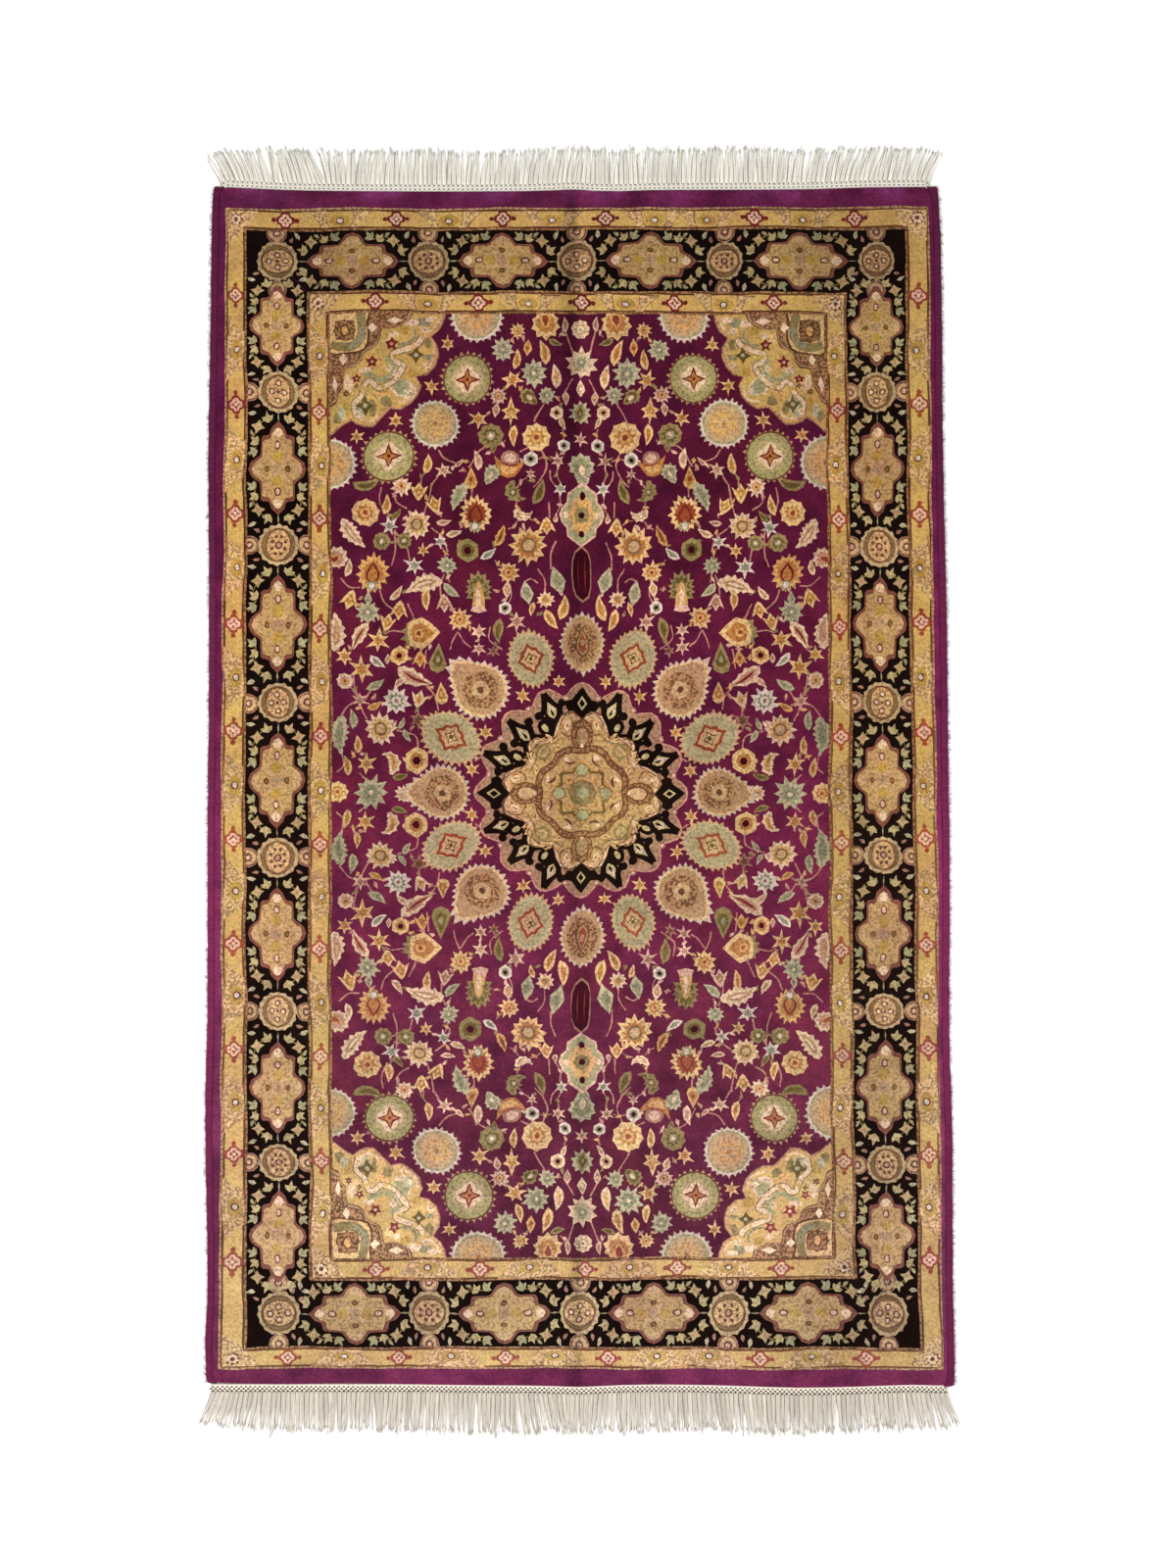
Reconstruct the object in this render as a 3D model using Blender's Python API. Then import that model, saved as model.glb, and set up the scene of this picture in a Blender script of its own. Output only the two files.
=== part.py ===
"""A small hand-knotted wool rug lying flat on a floor.

It has one slab of pile with the wavy outline and the soft centre crease of a rug that was folded,
an overcast cord along each long edge, and at each end a knotted cotton web with loose strands.
Metres, +Z up, +Y towards the end that is the top of the design, origin on the floor under the middle.
"""

import math
import random

import bmesh
import bpy

MM = 0.001

# Pile slab
RUG_THICKNESS = 11 * MM
WALL_HEIGHT = 6 * MM
ROUNDING_HEIGHT = 9.4 * MM
ROUNDING_INSET = 1.2 * MM
SHOULDER_INSET = 4 * MM
CORNER_CUT = 2.5 * MM
SWELL_HEIGHT = 0.5 * MM
SWELL_WAVES = 3.0
SWELL_PHASE = 0.7
NOMINAL_HALF_WIDTH = 475 * MM
NOMINAL_HALF_LENGTH = 770 * MM
CORNER_CELL = 8 * MM
ROWS_ALONG = 34
COLUMNS_BESIDE_CREASE = 12

# Crease left by a lengthwise fold: distance from its ridge, rise of the pile there (mm)
CREASE_AT = -3 * MM
CREASE_PROFILE = ((-26, 0.0), (-13, 0.8), (-5, 2.2), (0, 2.6), (5, 2.2), (13, 0.8), (26, 0.0))

# Overcast cord along each long edge
CORD_WIDTH = 7 * MM
# Cord section: distance out from its inner side, height (both as shares of width and thickness)
CORD_SECTION = (
    (0.0, 0.0),
    (0.0, 0.62),
    (0.22, 0.84),
    (0.55, 0.88),
    (0.86, 0.72),
    (1.0, 0.42),
    (0.93, 0.14),
    (0.78, 0.0),
)
CORD_END_TAPER = 4 * MM
CORD_END_SHARE = 0.6
# How far the line of a web is carried on past the slab, below the cords' ends
WEB_LINE_RUN_ON = 14 * MM

# Gap that parts each piece from the next
PIECE_GAP = 0.4 * MM

# Knotted web and loose strands
WEB_DEPTH = 10 * MM
WEB_THICKNESS = 2.6 * MM
STRAND_PITCH = 7 * MM
STRAND_ROOT_WIDTH = 5.0 * MM
STRAND_MIDDLE_WIDTH = 4.4 * MM
STRAND_TIP_WIDTH = 3.0 * MM
STRAND_MIDDLE_THICKNESS = 2.4 * MM
STRAND_TIP_THICKNESS = 1.5 * MM
STRAND_MIDDLE_AT = 0.5
STRAND_MIDDLE_LEAN = 0.42
LENGTH_SCATTER = 2.2 * MM
CLUMP_REACH = 1.1 * MM
CLUMP_SPACING = 34 * MM

# Edges of the rug: place along the edge, reach out from the middle (mm)
LEFT_EDGE = (
    (-770, 480.0),
    (-734, 481.5),
    (-646, 478.0),
    (-513, 480.0),
    (-425, 481.3),
    (-311, 478.5),
    (-71, 478.0),
    (194, 476.0),
    (415, 477.0),
    (547, 475.0),
    (680, 473.3),
    (743, 472.3),
    (770, 470.0),
)
RIGHT_EDGE = (
    (-770, 480.8),
    (-734, 481.5),
    (-646, 479.2),
    (-425, 478.0),
    (-336, 474.6),
    (-115, 475.0),
    (61, 473.0),
    (194, 471.7),
    (326, 468.6),
    (459, 466.0),
    (591, 465.0),
    (724, 462.8),
    (770, 459.5),
)
TOP_EDGE = (
    (-475, 773.5),
    (-428, 771.4),
    (-378, 769.2),
    (-302, 768.2),
    (-176, 767.6),
    (-50, 768.3),
    (0, 770.2),
    (36, 767.7),
    (102, 769.4),
    (253, 770.0),
    (329, 770.9),
    (379, 772.8),
    (475, 773.5),
)
BOTTOM_EDGE = (
    (-475, 767.0),
    (-378, 769.2),
    (-317, 767.7),
    (-151, 770.2),
    (-50, 771.0),
    (0, 772.4),
    (51, 770.2),
    (102, 769.4),
    (177, 770.4),
    (278, 773.5),
    (339, 772.7),
    (440, 769.7),
    (475, 771.2),
)

# Fringe at the top end: place across the rug, sideways lean of the tip, length of the strand (mm)
TOP_STRANDS = (
    (-461, -19.0, 36.0),
    (-380, -11.0, 42.0),
    (-330, -13.0, 43.0),
    (-308, -3.0, 43.0),
    (-200, 0.0, 43.0),
    (-40, 5.0, 43.0),
    (0, 5.0, 44.0),
    (26, -2.0, 43.0),
    (90, 1.0, 43.0),
    (250, 2.0, 43.0),
    (280, 7.0, 42.0),
    (365, 13.0, 41.0),
    (395, 10.0, 41.0),
    (430, 12.0, 40.0),
    (450, 19.0, 36.0),
)
# Fringe at the bottom end, in the same columns
BOTTOM_STRANDS = (
    (-474, -17.0, 41.0),
    (-427, -11.0, 47.0),
    (-381, -3.0, 49.0),
    (-250, -2.0, 49.0),
    (-100, 0.0, 51.0),
    (-25, 6.0, 50.0),
    (0, -3.0, 49.0),
    (60, 0.0, 50.0),
    (185, 5.0, 49.0),
    (230, 3.0, 50.0),
    (330, 1.0, 48.0),
    (390, 5.0, 47.0),
    (430, 9.0, 46.0),
    (473, 16.0, 41.0),
)

# Colour (linear RGB) and roughness of each kind of yarn
PILE_FINISH = ((0.30, 0.17, 0.07), 0.9)
CORD_FINISH = ((0.13, 0.014, 0.075), 0.85)
FRINGE_FINISH = ((0.72, 0.66, 0.54), 0.9)
SHARP_ANGLE = math.radians(50)


def clear_scene():
    for obj in list(bpy.data.objects):
        bpy.data.objects.remove(obj, do_unlink=True)


def smooth_value(rows, at, column=1):
    """Reads one column of a table at a place, on a smooth curve through its rows (all in mm)."""
    places = [row[0] for row in rows]
    values = [row[column] for row in rows]
    at = min(max(at, places[0]), places[-1])
    k = max(i for i in range(len(rows) - 1) if places[i] <= at)
    slopes = []
    for i in (k, k + 1):
        before, after = max(i - 1, 0), min(i + 1, len(rows) - 1)
        slopes.append((values[after] - values[before]) / (places[after] - places[before]))
    step = places[k + 1] - places[k]
    t = (at - places[k]) / step
    rise = t * t * (3 - 2 * t)
    return (
        values[k] * (1 - rise)
        + values[k + 1] * rise
        + slopes[0] * step * t * (1 - t) ** 2
        - slopes[1] * step * t * t * (1 - t)
    )


def reach(edge, place):
    """Distance of an edge from the middle of the rug, at a place along it."""
    return smooth_value(edge, place / MM) * MM


def even_places(first, last, count):
    """Places from first up to, and without, last."""
    return [first + (last - first) * i / count for i in range(count)]


def column_places():
    """Places across the rug of the slab's columns, closer together at the corners and on the crease."""
    side = NOMINAL_HALF_WIDTH - CORNER_CELL
    crease = [CREASE_AT + row[0] * MM for row in CREASE_PROFILE]
    left = even_places(-side, crease[0], COLUMNS_BESIDE_CREASE)
    right = even_places(side, crease[-1], COLUMNS_BESIDE_CREASE)[::-1]
    return [-NOMINAL_HALF_WIDTH] + left + crease + right + [NOMINAL_HALF_WIDTH]


def row_places():
    """Places along the rug of the slab's rows, closer together at the corners."""
    side = NOMINAL_HALF_LENGTH - CORNER_CELL
    return [-NOMINAL_HALF_LENGTH] + even_places(-side, side, ROWS_ALONG) + [side, NOMINAL_HALF_LENGTH]


def slab_plan(column, row, inset=0.0):
    """Where the slab has a column and a row, with its outline drawn in by an inset."""
    side = CORD_WIDTH + PIECE_GAP + inset
    left = reach(LEFT_EDGE, row) - side
    right = reach(RIGHT_EDGE, row) - side
    bottom = reach(BOTTOM_EDGE, column) - inset
    top = reach(TOP_EDGE, column) - inset
    across = (column / NOMINAL_HALF_WIDTH + 1) / 2
    along = (row / NOMINAL_HALF_LENGTH + 1) / 2
    return -left + (left + right) * across, -bottom + (bottom + top) * along


def pile_height(x, y):
    """Height of the pile: its thickness, the crease and a slight swell."""
    away = (x - CREASE_AT) / MM
    crease = smooth_value(CREASE_PROFILE, away) * MM
    swell = math.sin(SWELL_WAVES * math.pi * x / NOMINAL_HALF_WIDTH + SWELL_PHASE)
    swell *= math.sin(SWELL_WAVES * math.pi * y / NOMINAL_HALF_LENGTH)
    return RUG_THICKNESS + crease + SWELL_HEIGHT * swell


def add_object(name, bm, finish):
    """Makes an object of a finished mesh, with its own material."""
    bmesh.ops.recalc_face_normals(bm, faces=bm.faces)
    mesh = bpy.data.meshes.new(name)
    bm.to_mesh(mesh)
    bm.free()
    mesh.shade_smooth()
    mesh.set_sharp_from_angle(angle=SHARP_ANGLE)
    colour, roughness = finish
    material = bpy.data.materials.new(name)
    material.use_nodes = True
    shader = material.node_tree.nodes["Principled BSDF"]
    shader.inputs["Base Color"].default_value = (*colour, 1)
    shader.inputs["Roughness"].default_value = roughness
    shader.inputs["Metallic"].default_value = 0
    mesh.materials.append(material)
    obj = bpy.data.objects.new(name, mesh)
    bpy.context.scene.collection.objects.link(obj)
    return obj


def rim_cells(rows, columns):
    """Cells of the slab's rim, once round."""
    last_row, last_column = len(rows) - 1, len(columns) - 1
    bottom = [(0, j) for j in range(last_column)]
    right = [(i, last_column) for i in range(last_row)]
    top = [(last_row, j) for j in range(last_column, 0, -1)]
    left = [(i, 0) for i in range(last_row, 0, -1)]
    return bottom + right + top + left


def rim_point(column, row, inset):
    """A point of the slab's rim, drawn in further where it is a corner of the rug."""
    x, y = slab_plan(column, row, inset)
    if abs(column) >= NOMINAL_HALF_WIDTH and abs(row) >= NOMINAL_HALF_LENGTH:
        x -= math.copysign(CORNER_CUT, x)
        y -= math.copysign(CORNER_CUT, y)
    return x, y


def make_rug():
    """The slab: a grid of pile, a rounded rim, a low wall and a flat underside."""
    bm = bmesh.new()
    rows, columns = row_places(), column_places()
    grid = {}
    for i, row in enumerate(rows):
        for j, column in enumerate(columns):
            x, y = slab_plan(column, row, SHOULDER_INSET)
            grid[i, j] = bm.verts.new((x, y, pile_height(x, y)))
    for i in range(len(rows) - 1):
        for j in range(len(columns) - 1):
            bm.faces.new((grid[i, j], grid[i, j + 1], grid[i + 1, j + 1], grid[i + 1, j]))

    rim = rim_cells(rows, columns)
    upper = [grid[cell] for cell in rim]
    # Inset and height of each ring down from the shoulder to the floor
    rings = ((ROUNDING_INSET, ROUNDING_HEIGHT), (0.0, WALL_HEIGHT), (0.0, 0.0))
    for inset, height in rings:
        lower = []
        for i, j in rim:
            x, y = rim_point(columns[j], rows[i], inset)
            lower.append(bm.verts.new((x, y, height)))
        for k in range(len(rim)):
            after = (k + 1) % len(rim)
            bm.faces.new((upper[k], lower[k], lower[after], upper[after]))
        upper = lower
    bm.faces.new(upper[::-1])
    return add_object("rug", bm, PILE_FINISH)


def make_cord(name, side, edge):
    """The overcast cord along one long edge: its section swept along that edge."""
    bm = bmesh.new()
    corner = side * NOMINAL_HALF_WIDTH
    first = -reach(BOTTOM_EDGE, corner)
    last = reach(TOP_EDGE, corner)
    rows = row_places()
    places = [first + (last - first) * (row / NOMINAL_HALF_LENGTH + 1) / 2 for row in rows]
    stations = [(places[0], rows[0], CORD_END_SHARE), (places[0] + CORD_END_TAPER, rows[0], 1.0)]
    stations += [(place, row, 1.0) for place, row in zip(places[1:-1], rows[1:-1])]
    stations += [(places[-1] - CORD_END_TAPER, rows[-1], 1.0), (places[-1], rows[-1], CORD_END_SHARE)]

    rings = []
    for y, row, share in stations:
        inner = reach(edge, row) - CORD_WIDTH
        ring = []
        for out, height in CORD_SECTION:
            x = side * (inner + out * CORD_WIDTH * share)
            ring.append(bm.verts.new((x, y, height * share * RUG_THICKNESS)))
        rings.append(ring)
    for ring, after in zip(rings, rings[1:]):
        for k in range(len(CORD_SECTION)):
            beside = (k + 1) % len(CORD_SECTION)
            bm.faces.new((ring[k], ring[beside], after[beside], after[k]))
    bm.faces.new(rings[0])
    bm.faces.new(rings[-1])
    return add_object(name, bm, CORD_FINISH)


def end_line(end):
    """The line of straight pieces that a web follows: the slab's end edge, carried on past the cords."""
    row = end * NOMINAL_HALF_LENGTH
    line = [slab_plan(column, row) for column in column_places()]
    (left, left_y), (right, right_y) = line[0], line[-1]
    return [(left - WEB_LINE_RUN_ON, left_y)] + line + [(right + WEB_LINE_RUN_ON, right_y)]


def height_of_line(points, x):
    """The y of a line of straight pieces at x."""
    k = max([0] + [i for i in range(len(points) - 1) if points[i][0] <= x])
    (x0, y0), (x1, y1) = points[k], points[k + 1]
    return y0 + (y1 - y0) * (x - x0) / (x1 - x0)


def clump_offsets(first, last, chance):
    """Rows of a table (mm) that draws strand tips together and apart."""
    count = max(2, round((last - first) / CLUMP_SPACING))
    rows = []
    for i in range(count + 1):
        place = first + (last - first) * i / count
        rows.append((place / MM, chance.uniform(-1, 1) * CLUMP_REACH / MM))
    return rows


def strand_rings(bm, root, x, y, end, lean, length):
    """Rings of one strand, from the web's face (already made) to the tip."""
    rings = [root]
    shape = (
        (STRAND_MIDDLE_AT, STRAND_MIDDLE_LEAN, STRAND_MIDDLE_WIDTH, STRAND_MIDDLE_THICKNESS),
        (1.0, 1.0, STRAND_TIP_WIDTH, STRAND_TIP_THICKNESS),
    )
    for share, lean_share, width, thickness in shape:
        middle = x + lean * lean_share
        out = y + end * length * share
        corners = ((-1, 0.0), (1, 0.0), (1, thickness), (-1, thickness))
        rings.append([bm.verts.new((middle + s * width / 2, out, z)) for s, z in corners])
    return rings


def make_fringe(name, end, table, seed):
    """The knotted web at one end of the rug, with its loose strands: one closed body."""
    bm = bmesh.new()
    chance = random.Random(seed)
    edge = end_line(end)
    first, last = table[0][0] * MM, table[-1][0] * MM
    clumps = clump_offsets(first, last, chance)
    count = round((last - first) / STRAND_PITCH)
    pitch = (last - first) / count

    def web_column(x, depth):
        """A lower and an upper point of the web."""
        y = height_of_line(edge, x) + end * (PIECE_GAP + depth)
        return bm.verts.new((x, y, 0)), bm.verts.new((x, y, WEB_THICKNESS))

    start = web_column(first, 0), web_column(first, WEB_DEPTH)
    bm.faces.new((*start[0], *start[1][::-1]))
    back, front = start
    for k in range(count):
        x = first + (k + 0.5) * pitch
        half = STRAND_ROOT_WIDTH / 2
        behind = web_column(x, 0)
        near, far = web_column(x - half, WEB_DEPTH), web_column(x + half, WEB_DEPTH)
        bm.faces.new((back[0], behind[0], behind[1], back[1]))
        bm.faces.new((front[0], near[0], near[1], front[1]))
        for level in (0, 1):
            bm.faces.new((back[level], behind[level], near[level], front[level]))
            bm.faces.new((behind[level], far[level], near[level]))
        lean = smooth_value(table, x / MM, 1) * MM + smooth_value(clumps, x / MM) * MM
        length = smooth_value(table, x / MM, 2) * MM + chance.uniform(-1, 1) * LENGTH_SCATTER
        y = height_of_line(edge, x) + end * (PIECE_GAP + WEB_DEPTH)
        root = [near[0], far[0], far[1], near[1]]
        rings = strand_rings(bm, root, x, y, end, lean, length)
        for ring, after in zip(rings, rings[1:]):
            for c in range(4):
                beside = (c + 1) % 4
                bm.faces.new((ring[c], ring[beside], after[beside], after[c]))
        bm.faces.new(rings[-1])
        back, front = behind, far
    stop = web_column(last, 0), web_column(last, WEB_DEPTH)
    bm.faces.new((back[0], stop[0][0], stop[0][1], back[1]))
    bm.faces.new((front[0], stop[1][0], stop[1][1], front[1]))
    for level in (0, 1):
        bm.faces.new((back[level], stop[0][level], stop[1][level], front[level]))
    bm.faces.new((*stop[0], *stop[1][::-1]))
    return add_object(name, bm, FRINGE_FINISH)


def centre_over_origin(objects):
    """Moves all the pieces alike, so that the origin is under the middle of the whole rug."""
    points = [vertex.co for obj in objects for vertex in obj.data.vertices]
    x = (min(p.x for p in points) + max(p.x for p in points)) / 2
    y = (min(p.y for p in points) + max(p.y for p in points)) / 2
    for obj in objects:
        obj.location = (-x, -y, 0)


def main():
    clear_scene()
    centre_over_origin([
        make_rug(),
        make_cord("selvedge_left", -1, LEFT_EDGE),
        make_cord("selvedge_right", 1, RIGHT_EDGE),
        make_fringe("fringe_top", 1, TOP_STRANDS, seed=11),
        make_fringe("fringe_bottom", -1, BOTTOM_STRANDS, seed=23),
    ])


main()
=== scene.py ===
"""Looks of a small hand-knotted wool rug: its pattern, pile, overcast edges and knotted fringes.

Metres, +Z up. The pattern is drawn in knots, from the middle of its medallion: a to the right, b up.
"""

import math
import random

import bpy
import numpy as np
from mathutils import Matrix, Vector
from mathutils.geometry import delaunay_2d_cdt


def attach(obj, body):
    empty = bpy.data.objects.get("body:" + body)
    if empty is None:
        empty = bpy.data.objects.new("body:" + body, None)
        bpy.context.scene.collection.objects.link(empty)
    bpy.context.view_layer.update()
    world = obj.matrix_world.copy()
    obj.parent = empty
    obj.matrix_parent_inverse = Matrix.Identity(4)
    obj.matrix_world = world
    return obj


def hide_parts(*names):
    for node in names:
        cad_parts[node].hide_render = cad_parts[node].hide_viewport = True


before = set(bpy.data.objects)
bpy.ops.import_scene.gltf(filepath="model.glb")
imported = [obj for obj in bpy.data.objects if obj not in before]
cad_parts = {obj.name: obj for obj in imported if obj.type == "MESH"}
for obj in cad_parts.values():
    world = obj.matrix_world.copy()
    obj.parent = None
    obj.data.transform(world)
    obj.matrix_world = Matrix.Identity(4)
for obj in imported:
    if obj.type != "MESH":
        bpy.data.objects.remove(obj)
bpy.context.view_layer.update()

MM = 0.001
KNOT = 1.262 * MM
UP = math.pi / 2
chance = random.Random(4)

# Pile slab, as in the frame
RUG_THICKNESS = 11 * MM
WALL_HEIGHT = 6 * MM
ROUNDING_INSET = 1.2 * MM
SHOULDER_INSET = 4 * MM
SWELL_HEIGHT = 0.5 * MM
SWELL_WAVES = 3.0
SWELL_PHASE = 0.7
NOMINAL_HALF_WIDTH = 475 * MM
NOMINAL_HALF_LENGTH = 770 * MM
CREASE_AT = -3 * MM
CREASE_PROFILE = ((-26, 0.0), (-13, 0.8), (-5, 2.2), (0, 2.6), (5, 2.2), (13, 0.8), (26, 0.0))
# Edge cords: distance out from the inner side, height (as shares of width and of the pile's thickness)
CORD_WIDTH = 7 * MM
CORD_SECTION = (
    (0.0, 0.0),
    (0.0, 0.84),
    (0.22, 0.9),
    (0.55, 0.88),
    (0.86, 0.72),
    (1.0, 0.42),
    (0.93, 0.14),
    (0.78, 0.0),
)
CORD_SPREAD = 2.2 * MM
PIECE_GAP = 0.4 * MM
WEB_DEPTH = 10 * MM
# Fringes: place across the rug, sideways lean of the tip, length of the strand (mm)
TOP_STRANDS = (
    (-461, -19, 36),
    (-380, -11, 42),
    (-330, -13, 43),
    (-308, -3, 43),
    (-200, 0, 43),
    (-40, 5, 43),
    (0, 5, 44),
    (26, -2, 43),
    (90, 1, 43),
    (250, 2, 43),
    (280, 7, 42),
    (365, 13, 41),
    (395, 10, 41),
    (430, 12, 40),
    (450, 19, 36),
)
BOTTOM_STRANDS = (
    (-474, -17, 41),
    (-427, -11, 47),
    (-381, -3, 49),
    (-250, -2, 49),
    (-100, 0, 51),
    (-25, 6, 50),
    (0, -3, 49),
    (60, 0, 50),
    (185, 5, 49),
    (230, 3, 50),
    (330, 1, 48),
    (390, 5, 47),
    (430, 9, 46),
    (473, 16, 41),
)
# Gaps between the tips: place across the rug, width there (mm)
TOP_GAPS = (
    (-398, 7), (-330, 8), (-229, 3), (-217, 3), (-150, 4), (-129, 4), (-84, 3), (80, 3), (121, 3),
    (208, 3), (286, 4), (335, 3), (353, 3), (408, 4),
)
BOTTOM_GAPS = (
    (-340, 3), (-180, 2), (40, 2), (210, 2), (330, 3),
)
# From the pattern's own middle lines to the frame's
SHIFT = Vector((0.5 * MM, 3.9 * MM))

# Pattern: half size of the field, and the bands outside it, in knots
FIELD_WIDE = 256.5
FIELD_LONG = 489.0
INNER_GUARD = 21.7
BORDER = 63.8
OUTER_GUARD = 22.3
# Where the knotting put each line of the pattern: knots from the middle, place across the rug (mm)
# at the field's top end and at its bottom end
COLUMN_PLACES = (
    (-377.0, -473.1, -478.9),
    (-364.3, -457.1, -463.8),
    (-342.0, -429.7, -429.7),
    (-278.2, -349.2, -347.7),
    (-256.5, -321.8, -318.7),
    (0.0, 1.9, 3.8),
    (256.5, 317.1, 326.2),
    (278.2, 344.4, 355.2),
    (342.0, 420.1, 437.3),
    (364.3, 451.2, 467.6),
    (377.0, 463.5, 481.0),
)
# Knots from the middle, place along the rug (mm)
ROW_PLACES = (
    (-617.0, -770.3),
    (-597.5, -749.4),
    (-574.5, -721.5),
    (-510.7, -633.5),
    (-489.0, -605.5),
    (0.0, -6.9),
    (489.0, 610.2),
    (510.7, 637.4),
    (574.5, 717.9),
    (597.5, 747.0),
    (617.0, 771.1),
)
# Slow wander of the knotted lines: wavelength (mm), heading (degrees), size (mm), phase, way it moves
WANDER = (
    (310, 20, 0.9, 0.3, 0),
    (190, 75, 0.7, 1.9, 0),
    (113, 130, 0.5, 4.0, 0),
    (61, 50, 0.3, 2.2, 0),
    (270, 100, 0.9, 5.1, 1),
    (170, 10, 0.7, 0.8, 1),
    (97, 65, 0.5, 3.3, 1),
    (57, 155, 0.3, 1.2, 1),
)
JITTER = 0.22
SIDE_STRIP = 25 * MM

# Yarns: sRGB colour, and how strongly it is flecked with darker knots
YARNS = {
    "ground": (86, 24, 47, 0.3),
    "edging": (105, 34, 70, 0.35),
    "deep": (58, 10, 24, 0.2),
    "back": (112, 84, 78, 0.3),
    "black": (20, 9, 6, 0.2),
    "guard": (202, 162, 95, 0.45),
    "cream": (230, 192, 156, 0.8),
    "bright": (240, 206, 170, 0.6),
    "gold": (212, 160, 100, 0.8),
    "light_gold": (224, 180, 124, 0.8),
    "amber": (180, 120, 66, 0.7),
    "tan": (182, 140, 102, 0.7),
    "sand": (200, 160, 116, 0.7),
    "beige": (164, 130, 92, 0.8),
    "olive": (132, 106, 60, 0.6),
    "dark_olive": (100, 80, 42, 0.4),
    "moss": (146, 124, 80, 0.7),
    "sage": (152, 140, 106, 0.8),
    "pale_sage": (184, 170, 136, 0.8),
    "grey_blue": (138, 134, 108, 0.7),
    "white": (220, 196, 178, 0.7),
    "pink": (196, 140, 118, 0.7),
    "pale_pink": (220, 174, 148, 0.7),
    "dusk_pink": (160, 114, 94, 0.6),
    "vine": (184, 128, 110, 0.6),
    "rust": (142, 66, 44, 0.4),
    "maroon": (112, 42, 34, 0.3),
    "line": (96, 60, 36, 0.3),
    "brown": (104, 66, 46, 0.5),
    "rim": (168, 126, 98, 0.9),
    "filigree": (150, 106, 70, 1.0),
    "spray": (208, 167, 116, 0.985),
    "brocade": (176, 134, 98, 0.99),
    "mauve": (130, 76, 62, 0.5),
    "leafy": (182, 160, 112, 0.7),
    "pale_moss": (182, 155, 106, 0.6),
    "celadon": (164, 154, 114, 0.6),
    "blend": (190, 150, 98, 0.8),
    "ochre": (184, 144, 72, 0.6),
    "speckle": (204, 160, 112, 0.98),
    "plume": (206, 178, 156, 0.7),
    "oat": (188, 158, 116, 0.8),
    "umber": (128, 98, 64, 0.6),
    "fern": (166, 150, 100, 0.8),
    "reed": (176, 156, 116, 0.7),
    "braid": (162, 116, 80, 1.0),
}
# Four yarns of a flower: edge, fill, heart and core
SCHEMES = {
    "gold": ("light_gold", "amber", "gold", "rust"),
    "amber": ("gold", "amber", "rust", "light_gold"),
    "sage": ("pale_sage", "sage", "grey_blue", "cream"),
    "olive": ("moss", "dark_olive", "sage", "cream"),
    "pink": ("pale_pink", "dusk_pink", "gold", "rust"),
    "blush": ("cream", "pink", "gold", "rust"),
    "cream": ("cream", "tan", "bright", "sage"),
    "white": ("white", "grey_blue", "white", "dusk_pink"),
    "red": ("light_gold", "rust", "pink", "cream"),
    "straw": ("cream", "gold", "amber", "grey_blue"),
    "dusk": ("dusk_pink", "brown", "tan", "cream"),
}


def linear(rgb):
    """Linear light of an sRGB colour given in 255ths."""
    shares = [value / 255 for value in rgb]
    return tuple(s / 12.92 if s <= 0.04045 else ((s + 0.055) / 1.055) ** 2.4 for s in shares)


def yarn_colour(name, shade=1.0):
    """Linear colour of a yarn, and its flecks as a fourth value."""
    *colour, flecks = YARNS[name]
    return tuple(c * shade for c in linear(colour)) + (flecks,)


# Outlines, as complex numbers: real part to the right, imaginary part up

# Nearer than this to the axis of a profile, a point lies on it
ON_AXIS = 1e-6


def heading(degrees):
    """Turns an outline that points up so that it leans to the right by this much."""
    return complex(math.cos(math.radians(degrees)), -math.sin(math.radians(degrees)))


def oval(wide, tall=None, count=12):
    """An oval of this half width and half height."""
    tall = wide if tall is None else tall
    angles = np.arange(count) * 2 * math.pi / count
    return wide * np.cos(angles) + 1j * tall * np.sin(angles)


def spiked(tips, outer, inner, uneven=0.12):
    """A star of uneven tips."""
    angles = np.arange(2 * tips) * math.pi / tips + UP
    reach = np.where(np.arange(2 * tips) % 2 == 0, outer, inner)
    scatter = np.array([1 + chance.uniform(-uneven, uneven) for _ in reach])
    return reach * scatter * np.exp(1j * angles)


def petalled(petals, outer, inner, steps=4, turned=0.0):
    """A ring of round petals with sharp notches between them."""
    angles = np.arange(petals * steps) * 2 * math.pi / (petals * steps)
    wave = np.abs(np.cos(petals * angles / 2)) ** 0.7
    return (inner + (outer - inner) * wave) * np.exp(1j * (angles + UP + math.radians(turned)))


def leaf_outline(length, width, bend=0.0, teeth=0.0, stations=6):
    """A leaf that points up, middle on the origin, bent to the right by so many degrees."""
    share = np.linspace(0, 1, stations + 1)
    angles = math.radians(bend) * (share - 0.5)
    steps = 1j * np.exp(-1j * (angles[1:] + angles[:-1]) / 2) * length / stations
    middle = np.concatenate([[0], np.cumsum(steps)])
    middle -= middle[stations // 2]
    half = width / 2 * np.sin(math.pi * share ** 0.75)
    half = half * np.where(np.arange(stations + 1) % 2 == 0, 1 - teeth, 1 + teeth)
    side = half * np.exp(-1j * angles)
    return np.concatenate([middle[:1], (middle + side)[1:-1], middle[-1:], (middle - side)[-2:0:-1]])


def outline_of(points, size=1.0):
    """An outline from a table of places."""
    return np.array([complex(*point) for point in points]) * size


def stretched(outline, wide, tall):
    """An outline made wider and taller by two factors."""
    return outline.real * wide + 1j * outline.imag * tall


def both_sides(profile, size=1.0):
    """A closed outline from its right half, which runs from the bottom to the top."""
    half = outline_of(profile, size)
    back = -half[::-1].conj()
    inner = back[1:-1] if abs(half[-1].real) < ON_AXIS else back[:-1]
    return np.concatenate([half, inner])


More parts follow.
